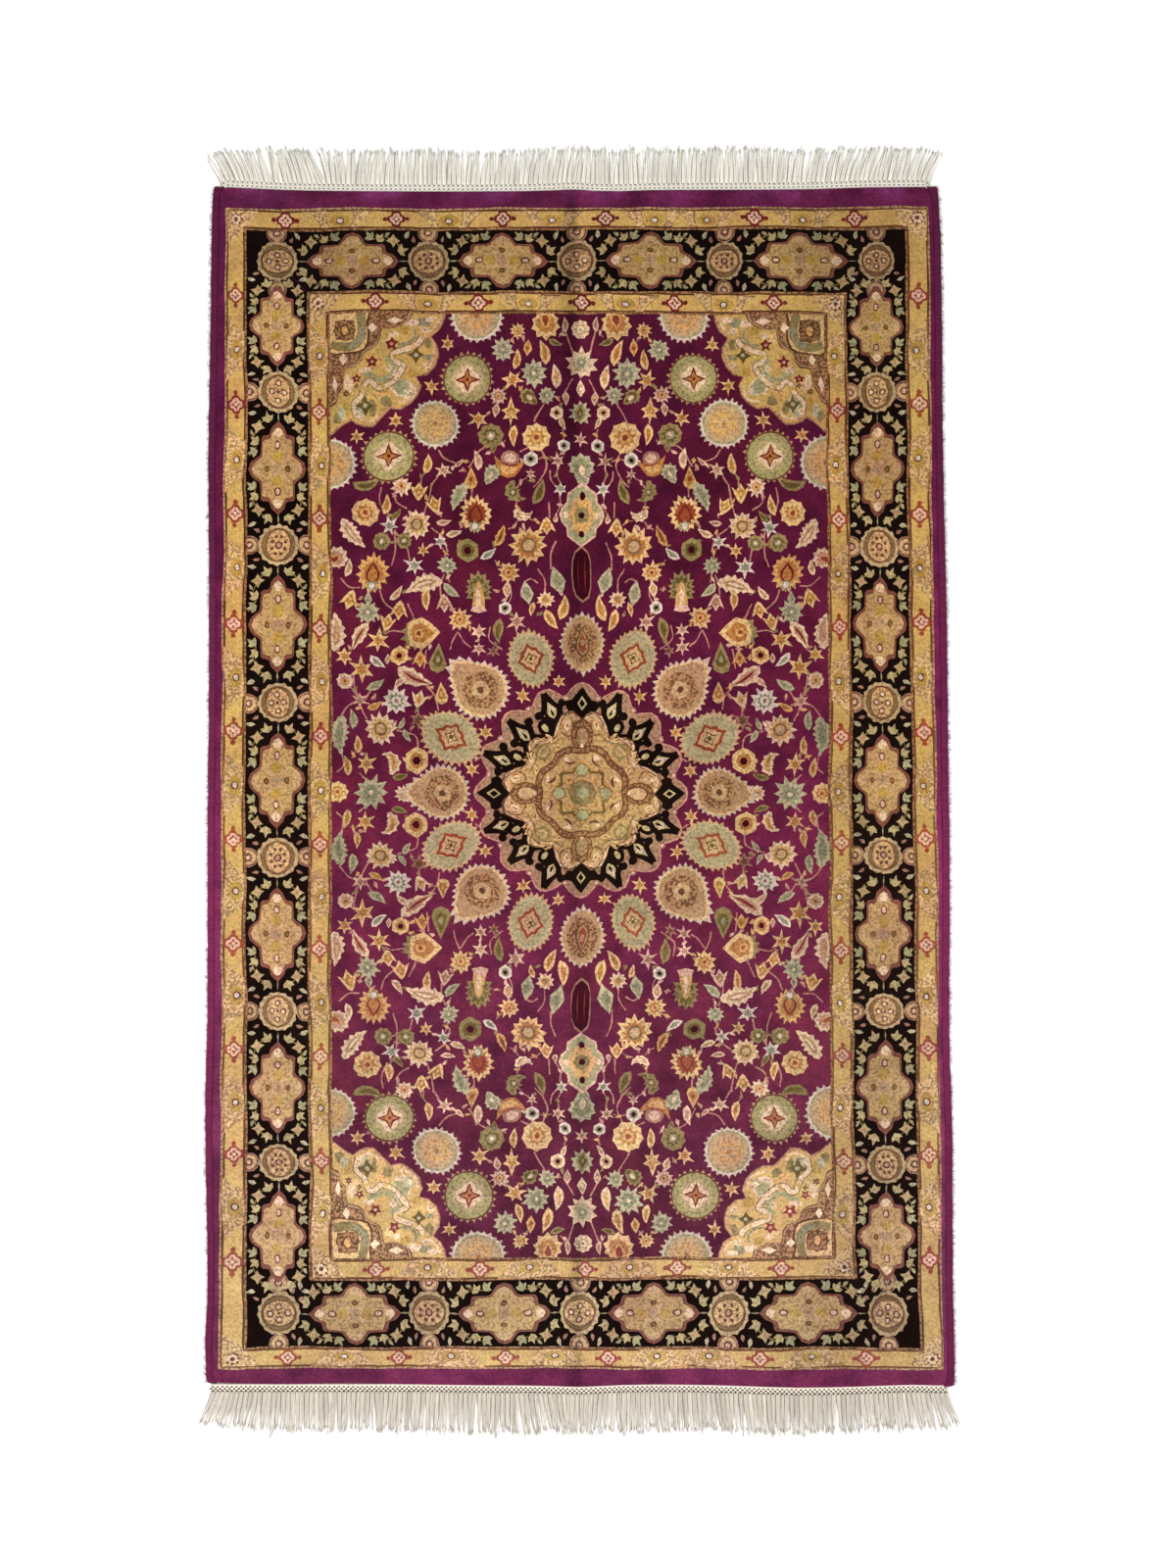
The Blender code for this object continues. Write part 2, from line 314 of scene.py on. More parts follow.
def four_sides(profile, size=1.0):
    """A closed outline from its quarter, which runs from the right tip to the top tip."""
    quarter = outline_of(profile, size)
    upper = np.concatenate([quarter, -quarter[::-1].conj()[1:]])
    return np.concatenate([upper, -upper[1:-1]])


def smooth_path(points, steps):
    """Points of a smooth curve through the given ones."""
    points = [complex(*p) if isinstance(p, tuple) else p for p in points]
    ends = [2 * points[0] - points[1]] + points + [2 * points[-1] - points[-2]]
    path = []
    for before, here, after, beyond in zip(ends, ends[1:], ends[2:], ends[3:]):
        for k in range(steps):
            t = k / steps
            path.append(
                0.5 * (
                    2 * here
                    + (after - before) * t
                    + (2 * before - 5 * here + 4 * after - beyond) * t * t
                    + (3 * here - before - 3 * after + beyond) * t ** 3
                )
            )
    return np.array(path + [points[-1]])


def ribbon(points, width, steps=3, taper=False):
    """A strip of even width along a smooth curve."""
    path = smooth_path(points, steps)
    ways = np.gradient(path)
    side = -1j * ways / np.abs(ways) * width / 2
    if taper:
        side = side * np.linspace(1, 0.4, len(side))
    return np.concatenate([path + side, (path - side)[::-1]])


def polar_outline(rows):
    """An outline with four-way symmetry from rows of degrees from up and reach, for one quarter."""
    points = []
    for turn in range(4):
        for degrees, reach in rows[:-1]:
            points.append(reach * np.exp(1j * (UP + turn * UP + math.radians(degrees))))
    return np.array(points)


def fan_outline(size, tips, spread, drop, folds, notch):
    """A fan of petals, spread by so many degrees to each side of up and lower at the sides."""
    fan = []
    for k in range(2 * tips + 1):
        angle = math.radians(2 * spread * k / (2 * tips) - spread)
        reach = size * (1 - drop + drop * math.cos(folds * angle)) * (1 if k % 2 else notch)
        fan.append(reach * complex(math.sin(angle), math.cos(angle)))
    return np.array(fan[::-1])


# Flowers and leaves. Each is a list of (outline, yarn), the later ones on top

def daisy(size, scheme, tips=10):
    edge, fill, heart, core = SCHEMES[scheme]
    return [
        (spiked(tips, size, size * 0.66), edge),
        (spiked(tips, size * 0.6, size * 0.4), fill),
        (oval(size * 0.34, count=7), heart),
        (oval(size * 0.16, count=5), core),
    ]


def rosette(size, scheme, petals=9):
    edge, fill, heart, core = SCHEMES[scheme]
    return [
        (petalled(petals, size, size * 0.72, 3), edge),
        (spiked(petals, size * 0.66, size * 0.44), fill),
        (oval(size * 0.38, count=8), heart),
        (oval(size * 0.2, count=5), core),
    ]


def ringed(size, scheme, petals=12):
    """A rosette with a dark ring round its eye."""
    edge, fill = SCHEMES[scheme][:2]
    return [
        (spiked(petals, size, size * 0.72, 0.1), edge),
        (spiked(petals, size * 0.7, size * 0.5, 0.1), fill),
        (oval(size * 0.42, count=9), "umber"),
        (oval(size * 0.3, count=7), "sand"),
    ]


def star(size, scheme, tips=6):
    edge, fill = SCHEMES[scheme][:2]
    return [(spiked(tips, size, size * 0.42, 0.2), edge), (spiked(tips, size * 0.5, size * 0.26), fill)]


def ringlet(size, scheme, petals=6):
    """A small flower with a dark eye."""
    edge, fill = SCHEMES[scheme][:2]
    return [
        (petalled(petals, size, size * 0.76, 3), edge),
        (oval(size * 0.58, count=8), fill),
        (oval(size * 0.32, count=6), "deep"),
    ]


def leaf(size, scheme, bend=35.0, width=0.4):
    edge, fill = SCHEMES[scheme][:2]
    return [
        (leaf_outline(size, size * width, bend), edge),
        (leaf_outline(size * 0.66, size * width * 0.5, bend * 0.66, stations=4), fill),
    ]


def curl(size, scheme):
    """A leaf bent round like a hook."""
    return leaf(size, scheme, bend=110.0, width=0.3)


def saw_leaf(size, scheme, bend=40.0):
    """A serrated leaf with a paler side."""
    edge, fill, heart = SCHEMES[scheme][:3]
    return [
        (leaf_outline(size, size * 0.42, bend, teeth=0.22, stations=12), edge),
        (leaf_outline(size * 0.72, size * 0.2, bend * 0.72, stations=6), fill),
        (leaf_outline(size * 0.5, size * 0.07, bend * 0.5, stations=4), heart),
    ]


def vein_leaf(size, scheme, bend=30.0):
    """A leaf with a dark red vein."""
    edge, fill = SCHEMES[scheme][:2]
    return [
        (leaf_outline(size, size * 0.4, bend, teeth=0.14, stations=8), edge),
        (leaf_outline(size * 0.74, size * 0.22, bend * 0.74, stations=6), fill),
        (leaf_outline(size * 0.8, size * 0.075, bend * 0.8, stations=5), "maroon"),
    ]


TULIP = ((0, -1), (0.3, -0.72), (0.6, -0.15), (0.92, 0.62), (0.45, 0.3), (0, 1))
BUD = ((0, -1), (0.26, -0.62), (0.52, -0.2), (0.4, 0.3), (0, 1))
DROP = ((0, -1), (0.42, -0.82), (0.58, -0.38), (0.36, 0.2), (0, 1))
LILY = ((0, -1), (0.12, -0.4), (0.5, -0.5), (0.3, -0.12), (0.62, 0.12), (0.24, 0.3), (0, 1))


def shaped(profile):
    """A flower of a given outline, with its fill and a small heart."""
    def make(size, scheme):
        edge, fill, heart = SCHEMES[scheme][:3]
        return [
            (both_sides(profile, size), edge),
            (both_sides(profile, size * 0.6), fill),
            (oval(size * 0.16, size * 0.24, 6) - 0.1j * size, heart),
        ]
    return make


def palmette(size, scheme, tips=9):
    """A fan of petals over an arch, on a small cup."""
    edge, fill, heart, core = SCHEMES[scheme]
    fan = fan_outline(size, tips, spread=150, drop=0.2, folds=1, notch=0.8)
    cup = both_sides(((0, -1.05), (0.3, -0.8), (0.42, -0.5), (0, -0.3)), size)
    return [
        (fan, edge),
        (fan * 0.7 - 0.02j * size, fill),
        (leaf_outline(size * 0.95, size * 0.62, stations=6) - 0.05j * size, heart),
        (leaf_outline(size * 0.7, size * 0.36, stations=6) - 0.05j * size, core),
        (cup, edge),
        (cup * 0.6 - 0.25j * size, fill),
    ]


def bell(size, scheme):
    """A round flower in an open cup."""
    edge, fill = SCHEMES[scheme][:2]
    cup = both_sides(((0, -1), (0.5, -0.85), (0.85, -0.3), (1.1, 0.35), (0.75, 0.1), (0, 0.05)), size)
    rim = [(-0.6 * size, -0.02 * size), (0, -0.16 * size), (0.6 * size, -0.02 * size)]
    return [
        (cup, "amber"),
        (both_sides(((0, -0.8), (0.42, -0.65), (0.62, -0.25), (0, -0.12)), size), "gold"),
        (oval(size * 0.66, size * 0.56, 10) + 0.3j * size, fill),
        (oval(size * 0.42, size * 0.34, 8) + 0.34j * size, edge),
        (ribbon(rim, 0.12 * size, 2), "rust"),
    ]


def crescent(size, scheme):
    """A serrated flower open on one side."""
    edge, fill, heart = SCHEMES[scheme][:3]
    return [
        (leaf_outline(size * 2.5, size * 0.95, 165, teeth=0.2, stations=12), edge),
        (leaf_outline(size * 1.9, size * 0.5, 130, stations=8), fill),
        (leaf_outline(size * 1.2, size * 0.22, 85, stations=5), heart),
    ]


def cup_leaf(size, scheme):
    """A palmette split between two yarns."""
    edge, fill, heart, core = SCHEMES[scheme]
    return [
        (spiked(11, size, size * 0.74, 0.1) * 0.85 - 0.25j * size, "moss"),
        (spiked(9, size * 0.6, size * 0.4, 0.1) - 0.3j * size, "sage"),
        (both_sides(((0, -0.7), (0.62, -0.6), (0.85, 0.1), (0.5, 0.55), (0, 1.05)), size), edge),
        (both_sides(((0, -0.5), (0.4, -0.4), (0.55, 0.1), (0.3, 0.4), (0, 0.72)), size), fill),
        (oval(size * 0.26, count=8) - 0.1j * size, heart),
        (oval(size * 0.14, count=6) - 0.1j * size, core),
    ]


def great_palmette(size, scheme, tips=11):
    """The largest kind: a leafy fan of two yarns on a pale stem."""
    edge, fill = SCHEMES[scheme][:2]
    fan = fan_outline(size, tips, spread=140, drop=0.16, folds=2, notch=0.72)
    return [
        (fan, edge),
        (fan * 0.74, fill),
        (spiked(7, size * 0.46, size * 0.3) + 0.05j * size, edge),
        (both_sides(((0, -1.1), (0.34, -1.0), (0.3, -0.5), (0.14, 0.2), (0, 0.36)), size), "gold"),
        (both_sides(((0, -0.9), (0.1, -0.8), (0.12, -0.3), (0, 0.22)), size), "cream"),
        (both_sides(((0, -1.2), (0.42, -1.1), (0.3, -0.86), (0, -0.8)), size), "pale_pink"),
    ]


def red_palmette(size, scheme):
    """A fan with a dark red arch over a sage cup."""
    edge, fill = SCHEMES[scheme][:2]
    outer = stretched(spiked(15, size, size * 0.74, 0.08), 0.86, 0.98)
    return [
        (outer, edge),
        (outer * 0.7, fill),
        (leaf_outline(size * 1.05, size * 0.74, stations=6), "maroon"),
        (leaf_outline(size * 0.8, size * 0.5, stations=6) - 0.05j * size, fill),
        (spiked(6, size * 0.34, size * 0.2) - 0.62j * size, "sage"),
        (oval(size * 0.16, count=6) - 0.62j * size, "white"),
    ]


def fringed(size, fringe, rings, stretch=1.0, point=0.0, both_ends=False, tips=30, sharp=5):
    """A round or oval medallion with a feathery rim, drawn out to a point if asked.

    The rings are (share of the size, yarn). A larger sharp gives a more abrupt point.
    """
    def round_outline(reach, count):
        angles = np.arange(count) * 2 * math.pi / count
        upward = np.abs(np.cos(angles)) if both_ends else np.clip(np.cos(angles), 0, 1)
        peak = 1 + point * upward ** sharp
        return stretched(reach * peak * np.exp(1j * (angles + UP)), 1, stretch)

    feathers = round_outline(size, 2 * tips)
    shares = np.array([1 + chance.uniform(-0.03, 0.06) if k % 2 == 0 else 0.87 for k in range(2 * tips)])
    parts = [(feathers * shares, fringe)]
    parts += [(round_outline(size * share, 18), yarn) for share, yarn in rings]
    return parts


KINDS = {
    "daisy": daisy,
    "rosette": rosette,
    "ringed": ringed,
    "star": star,
    "ringlet": ringlet,
    "leaf": leaf,
    "curl": curl,
    "saw": saw_leaf,
    "vein": vein_leaf,
    "tulip": shaped(TULIP),
    "bud": shaped(BUD),
    "drop": shaped(DROP),
    "lily": shaped(LILY),
    "palmette": palmette,
    "bell": bell,
    "crescent": crescent,
    "split": cup_leaf,
    "great": great_palmette,
    "red": red_palmette,
}
# Flowers and leaves of a quarter of the field: kind, distance out from the middle line and up from
# the middle row (knots), size, lean outwards of the part that points up, yarns
FIELD_MOTIFS = (
    ("daisy", 65.5, 471, 7.5, 0, "gold"),
    ("palmette", 36.5, 481, 18, 180, "gold"),
    ("leaf", 15.5, 478, 14, 0, "pink"),
    ("leaf", 26.5, 460, 15, -110, "olive"),
    ("bud", 54.5, 454, 8, 0, "amber"),
    ("daisy", 81, 452, 11.5, 8, "sage"),
    ("leaf", 37, 450, 25, 14, "gold"),
    ("leaf", 25, 426, 25, 8, "straw"),
    ("leaf", 65.5, 442, 19, -12, "gold"),
    ("star", 69.5, 421.5, 10, 20, "gold"),
    ("daisy", 48.5, 428, 13.5, 0, "sage"),
    ("daisy", 35.5, 406, 9, 10, "sage"),
    ("palmette", 53.5, 404, 9.5, 50, "olive"),
    ("daisy", 84.5, 406, 8.5, 0, "pink"),
    ("bud", 87.5, 391, 7, 170, "pink"),
    ("lily", 72.5, 389, 14, 0, "gold"),
    ("leaf", 71, 364, 20, 180, "gold"),
    ("bud", 15.5, 403, 7, 180, "pink"),
    ("star", 105.5, 382, 9.5, 0, "gold"),
    ("ringlet", 25, 388, 7, 0, "cream"),
    ("leaf", 19, 377, 13, -155, "cream"),
    ("rosette", 93.5, 364, 12, 0, "olive"),
    ("bud", 91, 352, 6, 180, "olive"),
    ("rosette", 46.5, 362, 15, 0, "gold"),
    ("ringlet", 17.5, 354, 6.5, 0, "white"),
    ("star", 25, 338, 7.5, 0, "pink"),
    ("ringlet", 52.5, 339, 7.5, 0, "white"),
    ("bell", 74.5, 336, 13.5, -12, "pink"),
    ("palmette", 93.5, 325, 10, -25, "sage"),
    ("star", 52.5, 324, 5.5, 0, "pink"),
    ("drop", 113.5, 321, 10.5, 0, "amber"),
    ("leaf", 107, 340, 20, 8, "blush"),
    ("saw", 126.5, 302, 31, 155, "sage"),
    ("star", 141, 328.5, 8.5, 10, "blush"),
    ("leaf", 125.5, 337, 11, -45, "pink"),
    ("leaf", 156.5, 335, 20, -12, "gold"),
    ("daisy", 182.5, 312, 9.5, 0, "blush"),
    ("tulip", 165.5, 306, 9, 0, "gold"),
    ("tulip", 149.5, 293, 8.5, 20, "gold"),
    ("curl", 217, 313, 33, -80, "olive"),
    ("leaf", 197.5, 294, 20, -8, "gold"),
    ("rosette", 219.5, 285.5, 13, 0, "gold"),
    ("star", 195, 272, 9.5, 12, "white"),
    ("leaf", 188, 283, 14, -40, "olive"),
    ("ringed", 167.5, 273, 14, 0, "straw"),
    ("crescent", 71.5, 304, 11.5, -150, "olive"),
    ("daisy", 71, 306, 7.5, 0, "olive"),
    ("leaf", 43.5, 306, 25, -20, "olive"),
    ("star", 22.5, 309, 7.5, 0, "white"),
    ("red", 107.5, 284, 18, 0, "red"),
    ("crescent", 60.5, 281, 8.5, -95, "cream"),
    ("drop", 27.5, 280, 4.5, 0, "pink"),
    ("saw", 234.5, 263, 35, -140, "cream"),
    ("rosette", 203.5, 256, 9, 0, "olive"),
    ("rosette", 180.5, 256, 8, 0, "olive"),
    ("star", 143, 256, 7.5, 0, "white"),
    ("leaf", 128.5, 264, 16, -70, "cream"),
    ("leaf", 139, 275, 14, -85, "pink"),
    ("star", 160.5, 247, 7, 0, "gold"),
    ("vein", 82.5, 262, 21, -25, "amber"),
    ("ringed", 54.5, 252, 17.5, 0, "gold"),
    ("tulip", 36.5, 271, 8.5, 180, "gold"),
    ("ringlet", 115.5, 248, 11, 0, "olive"),
    ("leaf", 94.5, 244, 18, -55, "white"),
    ("palmette", 252, 239, 13, -60, "blush"),
    ("leaf", 238.5, 230, 17, -12, "cream"),
    ("red", 213.5, 225, 18, 0, "amber"),
    ("star", 169.5, 231, 10, 0, "white"),
    ("saw", 161.5, 213, 37, 105, "cream"),
    ("daisy", 136.5, 232, 9, 0, "sage"),
    ("leaf", 159.5, 197, 20, 178, "gold"),
    ("leaf", 188.5, 204, 17, -40, "cream"),
    ("leaf", 133.5, 206, 20, -130, "sage"),
    ("tulip", 140.5, 194, 8.5, 185, "pink"),
    ("tulip", 237.5, 198, 9.5, 165, "gold"),
    ("daisy", 218.5, 185, 11.5, 0, "sage"),
    ("bud", 218, 199, 7, 0, "sage"),
    ("tulip", 186, 187, 9, 170, "gold"),
    ("tulip", 198.5, 175, 8.5, -12, "gold"),
    ("great", 105.5, 208, 18, 0, "olive"),
    ("daisy", 74.5, 226, 10.5, 0, "gold"),
    ("bud", 76, 208, 8.5, 178, "blush"),
    ("ringlet", 78.5, 189, 6.5, 0, "white"),
    ("daisy", 124.5, 177.5, 11.5, 0, "gold"),
    ("bud", 56, 205, 12, 10, "sage"),
    ("leaf", 51.5, 188, 14, 165, "gold"),
    ("bud", 25, 217, 14, 15, "sage"),
    ("daisy", 37.5, 198, 9, 0, "straw"),
    ("leaf", 33, 176, 24, -155, "gold"),
    ("leaf", 19, 189, 26, -12, "gold"),
    ("star", 67.5, 175, 9.5, 0, "pink"),
    ("saw", 250, 165, 36, 0, "blush"),
    ("vein", 227.5, 161, 30, 150, "blush"),
    ("star", 207.5, 156, 11, 0, "gold"),
    ("split", 164, 163, 17.5, -90, "gold"),
    ("star", 104.5, 166, 8, 0, "blush"),
    ("star", 104.5, 148, 7.5, 0, "pink"),
    ("star", 90.5, 145, 6.5, 0, "dusk"),
    ("leaf", 85.5, 166, 25, 172, "olive"),
    ("star", 242.5, 140.5, 9, 0, "gold"),
    ("star", 225.5, 127, 13, 0, "gold"),
    ("leaf", 209, 134, 19, -130, "white"),
    ("bud", 198, 137, 5, 0, "pink"),
    ("ringlet", 186, 140, 9, 0, "gold"),
    ("tulip", 164.5, 136, 8, 180, "amber"),
    ("drop", 145.5, 137, 15, 0, "olive"),
    ("vein", 170.5, 117, 36, -120, "blush"),
    ("leaf", 186, 113, 16, 130, "blush"),
    ("rosette", 242.5, 114, 8, 0, "blush"),
    ("leaf", 210.5, 110, 20, -60, "sage"),
    ("star", 227.5, 94, 8, 0, "pink"),
    ("daisy", 189.5, 94, 13.5, 0, "white"),
    ("leaf", 211.5, 88, 16, -60, "amber"),
    ("tulip", 165.5, 95, 8.5, -20, "straw"),
    ("drop", 142.5, 101, 10.5, 0, "gold"),
    ("leaf", 234.5, 75, 20, 5, "sage"),
    ("ringed", 206.5, 65, 15, 0, "straw"),
    ("leaf", 184, 70, 13, -30, "sage"),
    ("leaf", 180, 57, 14, -150, "sage"),
    ("star", 167.5, 73, 10, 0, "dusk"),
    ("saw", 249, 58, 37, 180, "sage"),
    ("leaf", 229.5, 49, 18, 0, "gold"),
    ("star", 221.5, 30, 10, 0, "gold"),
    ("leaf", 240, 27, 19, 8, "gold"),
    ("crescent", 193.5, 33, 11, 20, "straw"),
    ("ringlet", 169.5, 33, 12, 0, "gold"),
    ("leaf", 186, 17, 17, -75, "olive"),
)
# Flowers on the middle line, in the same columns, and on the middle row
AXIS_MOTIFS = (
    ("rosette", 0, 473, 10, 0, "cream"),
    ("daisy", 0, 439, 17, 0, "blush"),
    ("daisy", 0, 440, 10.5, 0, "sage"),
    ("bud", 0, 413, 9, 0, "cream"),
    ("daisy", 0, 388, 12.5, 0, "sage"),
    ("bud", 0, 388, 11, 0, "olive"),
    ("star", 0, 361, 8, 0, "pink"),
    ("palmette", 0, 329, 17, 0, "sage"),
)
ROW_MOTIFS = (
    ("daisy", 216.5, 0, 18, -90, "sage"),
    ("daisy", 182.5, 0, 10, 0, "blush"),
    ("rosette", 250, 0, 11, 0, "gold"),
)
# Small gold stars round the medallion and beside the corner pieces: distance out, up, size
STARS = (
    (136.5, 458.5, 8.5),
    (152.5, 415.5, 8.5),
    (189.5, 380, 9),
    (229.5, 364, 8.5),
    (23.5, 113, 8),
    (59.5, 98, 8.5),
    (97.5, 62, 8.5),
    (112.5, 23, 8.5),
)
# Large medallions of a quarter: kind, distance out, up, size, lean
ROUNDELS = (
    ("green", 116.5, 423, 26, 0),
    ("green", 196.5, 343, 26, 0),
    ("gold", 149, 377, 25.5, 0),
    ("gold", 107.5, 487, 27, 0),
    ("gold", 256.5, 336, 27, 0),
    ("beige", 102.5, 104, 28.5, 42),
    ("blue", 52.5, 137, 24.5, 15),
    ("blue", 133.5, 55.5, 26, 66),
)
AXIS_ROUNDELS = (("lens", 0, 152, 24.5, 0),)
ROW_ROUNDELS = (("beige", 142.5, 0, 27, 90),)
# Thin stems of a quarter, each through these places out and up (knots)
VINES = (
    ((146, 350), (139.5, 341), (126, 336)),
    ((98, 354), (108, 347), (116, 332)),
    ((41.5, 348), (36, 334), (41.5, 320), (50, 311)),
    ((64, 347), (53.5, 352)),
    ((33, 328), (32, 318), (25, 309)),
    ((36, 400), (43, 390), (49, 378)),
    ((15.5, 472), (12, 460), (8.5, 449)),
    ((8.5, 423), (14, 413), (19, 405)),
    ((203, 311), (205, 299), (202, 288)),
    ((189.5, 308), (188, 296), (177.5, 289)),
    ((153, 315), (155, 301), (160, 283)),
    ((153, 313), (147, 322)),
    ((190, 268), (189.5, 246), (194, 231)),
    ((177.5, 251), (174, 237)),
    ((152, 270), (140, 260), (136, 246)),
    ((112, 312), (112, 301)),
    ((34.5, 296), (34, 280)),
    ((26, 256), (31, 243), (31, 228)),
    ((248, 220), (238, 211), (227, 211)),
    ((206, 208), (201.5, 196), (190, 186)),
    ((140, 223), (144, 211), (144, 200)),
    ((178, 194), (170.5, 177)),
    ((201.5, 163), (194, 166), (182, 164)),
    ((158, 146), (160, 126)),
    ((157, 108), (149, 98), (146, 83)),
    ((228, 94), (233, 110), (234, 122)),
    ((228, 94), (240, 88), (248, 77)),
    ((228, 94), (225, 84), (220, 74)),
    ((227, 94), (217, 90)),
    ((222, 94), (216, 104), (205, 111)),
    ((45, 229), (38, 218), (38, 207)),
    ((73, 215), (72, 201), (78, 190)),
    ((57, 205), (59, 214), (52, 219), (45, 215)),
    ((126, 165), (131, 155), (133, 146)),
    ((126, 165), (119, 154), (112, 149)),
    ((93, 171), (94, 157), (81, 147)),
    ((190, 63), (181, 61), (170, 56), (168, 44)),
    ((246, 42), (244, 27), (251, 20)),
    ((109, 32), (102, 36), (98, 33)),
    ((114, 321), (119, 300), (112, 296)),
    ((128, 180), (126, 168)),
    ((215, 11), (222, 14), (228, 20)),
)


# The pattern, as a list of (outline, colour) in knots

QUARTERS = ((1, 1), (-1, 1), (1, -1), (-1, -1))


def flipped(outline, flip):
    """An outline mirrored into another quarter of the rug."""
    return stretched(outline, *flip)


def spoke(degrees, reach):
    """How far out and up a place lies, from its degrees from up and its reach."""
    at = reach * heading(degrees) * 1j
    return at.real, at.imag


# Small errors of hand knotting in each flower: lean (degrees), size and tone
LEAN_ERROR = (-4, 4)
SIZE_ERROR = (0.96, 1.05)
TONE_ERROR = (0.92, 1.1)


class Design:
    """Collects outlines in the order in which they lie on each other."""

    def __init__(self):
        self.parts = []
        self.tone = 1.0

    def add(self, outline, yarn, shade=1.0):
        self.parts.append((np.asarray(outline), yarn_colour(yarn, shade * self.tone)))

    def add_rings(self, outline, rings):
        """An outline again and again, at each share of its size in its own yarn."""
        for share, yarn in rings:
            self.add(outline * share, yarn)

    def lay(self, motif, out, up, lean=0.0, flip=(1, 1), loose=True):
        """Lays a motif in place, mirrored if asked, with small errors if loose."""
        turn = heading(lean + (chance.uniform(*LEAN_ERROR) if loose else 0))
        scale = chance.uniform(*SIZE_ERROR) if loose else 1.0
        shade = chance.uniform(*TONE_ERROR)
        for outline, yarn in motif:
            self.add(flipped(outline * turn * scale + complex(out, up), flip), yarn, shade)


def frame_band(design, inner, outer, yarn):
    """A band between two rectangles, given by their half sizes, in four mitred pieces."""
    for (near, far), (first, last) in zip(box_sides(*inner), box_sides(*outer)):
        design.add(np.concatenate([long_edge(first, last), long_edge(far, near)]), yarn)


def long_edge(first, last, spacing=14.0):
    """Points along a straight edge, close enough to follow the wander."""
    count = max(2, round(abs(last - first) / spacing))
    return first + (last - first) * np.linspace(0, 1, count + 1)


def box_sides(half_wide, half_long):
    """The four sides of a rectangle, each from one corner to the next."""
    ways = ((1, 1), (-1, 1), (-1, -1), (1, -1))
    corners = [complex(right * half_wide, up * half_long) for right, up in ways]
    return list(zip(corners, corners[1:] + corners[:1]))


def line_frame(design, half_wide, half_long, width, yarn):
    """A thin line all round a rectangle."""
    for first, last in box_sides(half_wide, half_long):
        middle = long_edge(first, last)
        side = 1j * (last - first) / abs(last - first) * width / 2
        design.add(np.concatenate([middle + side, (middle - side)[::-1]]), yarn)


# Lines of the guards: width, and distance from one to the next (knots)
LINE_WIDTH = 1.9
LINE_STEP = 1.8


def double_line(design, half_wide, half_long, outward, yarn):
    """A dark line with a dotted one on the side away from the guard."""
    line_frame(design, half_wide, half_long, LINE_WIDTH, "line")
    step = LINE_STEP * outward
    line_frame(design, half_wide + step, half_long + step, LINE_WIDTH, yarn)


def zigzag_diamond(size, outline, fill, core):
    """A notched diamond with a small flower in it."""
    angles = np.arange(16) * math.pi / 8 + UP
    shares = np.array([1.0, 0.72, 0.78, 0.72] * 4)
    edge = stretched(size * shares * np.exp(1j * angles), 0.82, 1)
    return [
        (edge, outline),
        (edge * 0.74, fill),
        (petalled(4, size * 0.42, size * 0.22, 2), "brown"),
        (petalled(4, size * 0.3, size * 0.16, 2), "light_gold"),
        (oval(size * 0.14, count=6), core),
    ]


def draw_roundel(kind, size):
    """One of the large medallions of the field."""
    if kind == "green":
        rings = ((0.92, "brown"), (0.86, "fern"), (0.62, "leafy"))
        motif = fringed(size * 1.07, "tan", rings, tips=26)
        return motif + [
            (petalled(4, size * 0.54, size * 0.4), "cream"),
            (spiked(4, size * 0.5, size * 0.2, 0.08), "maroon"),
            (spiked(4, size * 0.36, size * 0.13, 0.08), "amber"),
            (oval(size * 0.08, count=5), "maroon"),
        ]
    if kind == "gold":
        rings = ((0.91, "white"), (0.84, "reed"), (0.73, "sand"))
        motif = fringed(size * 1.04, "plume", rings, tips=26)
        return motif + [
            (spiked(10, size * 0.56, size * 0.44), "gold"),
            (spiked(6, size * 0.38, size * 0.2), "sand"),
            (oval(size * 0.12, count=5), "amber"),
        ]
    if kind == "blue":
        rings = ((0.9, "sand"), (0.84, "pale_sage"), (0.79, "reed"))
        motif = fringed(size, "sand", rings, stretch=1.2, point=0.1, both_ends=True, tips=28)
        return motif + zigzag_diamond(size * 0.72, "rust", "sand", "dark_olive")
    if kind == "lens":
        rings = ((0.88, "sand"), (0.82, "tan"), (0.66, "braid"))
        motif = fringed(size, "plume", rings, stretch=1.14, point=0.22, both_ends=True, tips=26)
        motif += [
            (leaf_outline(size * 1.3, size * 0.62), "line"),
            (leaf_outline(size * 1.16, size * 0.5), "beige"),
            (leaf_outline(size * 0.95, size * 0.3), "rust"),
            (oval(size * 0.1, size * 0.16, 6), "tan"),
        ]
        return motif
    rings = ((0.87, "light_gold"), (0.81, "tan"))
    motif = fringed(size * 1.03, "plume", rings, point=0.5, tips=28, sharp=11)
    motif.append((petalled(7, size * 0.66, size * 0.54, 3), "braid"))
    motif.append((petalled(5, size * 0.34, size * 0.22, 3), "sand"))
    motif.append((oval(size * 0.13, count=6), "brown"))
    return motif


# Tone of the flowers of the field, and of those beside the medallion
FIELD_TONE = 0.9
MID_TONE = 0.86
# Size of the flowers of the field against their table
FULLNESS = 1.09
# Kinds that a stem joins closer to their middle, and the yarns of the leaves on the stems
LONG_KINDS = ("leaf", "curl", "saw", "vein")
BRACT_YARNS = ("pink", "gold", "pale_pink", "moss")
# Flowers further out than the first and less far up than the second lie beside the medallion (knots)
BESIDE_MEDALLION = (140, 130)
# Width of the vines and of the stems (knots)
VINE_WIDTH = 1.5
STEM_WIDTH = 1.4
# Least free length between two flowers for a stem, and its bend (share of that length)
STEM_LEAST = 4
STEM_BEND = 0.16


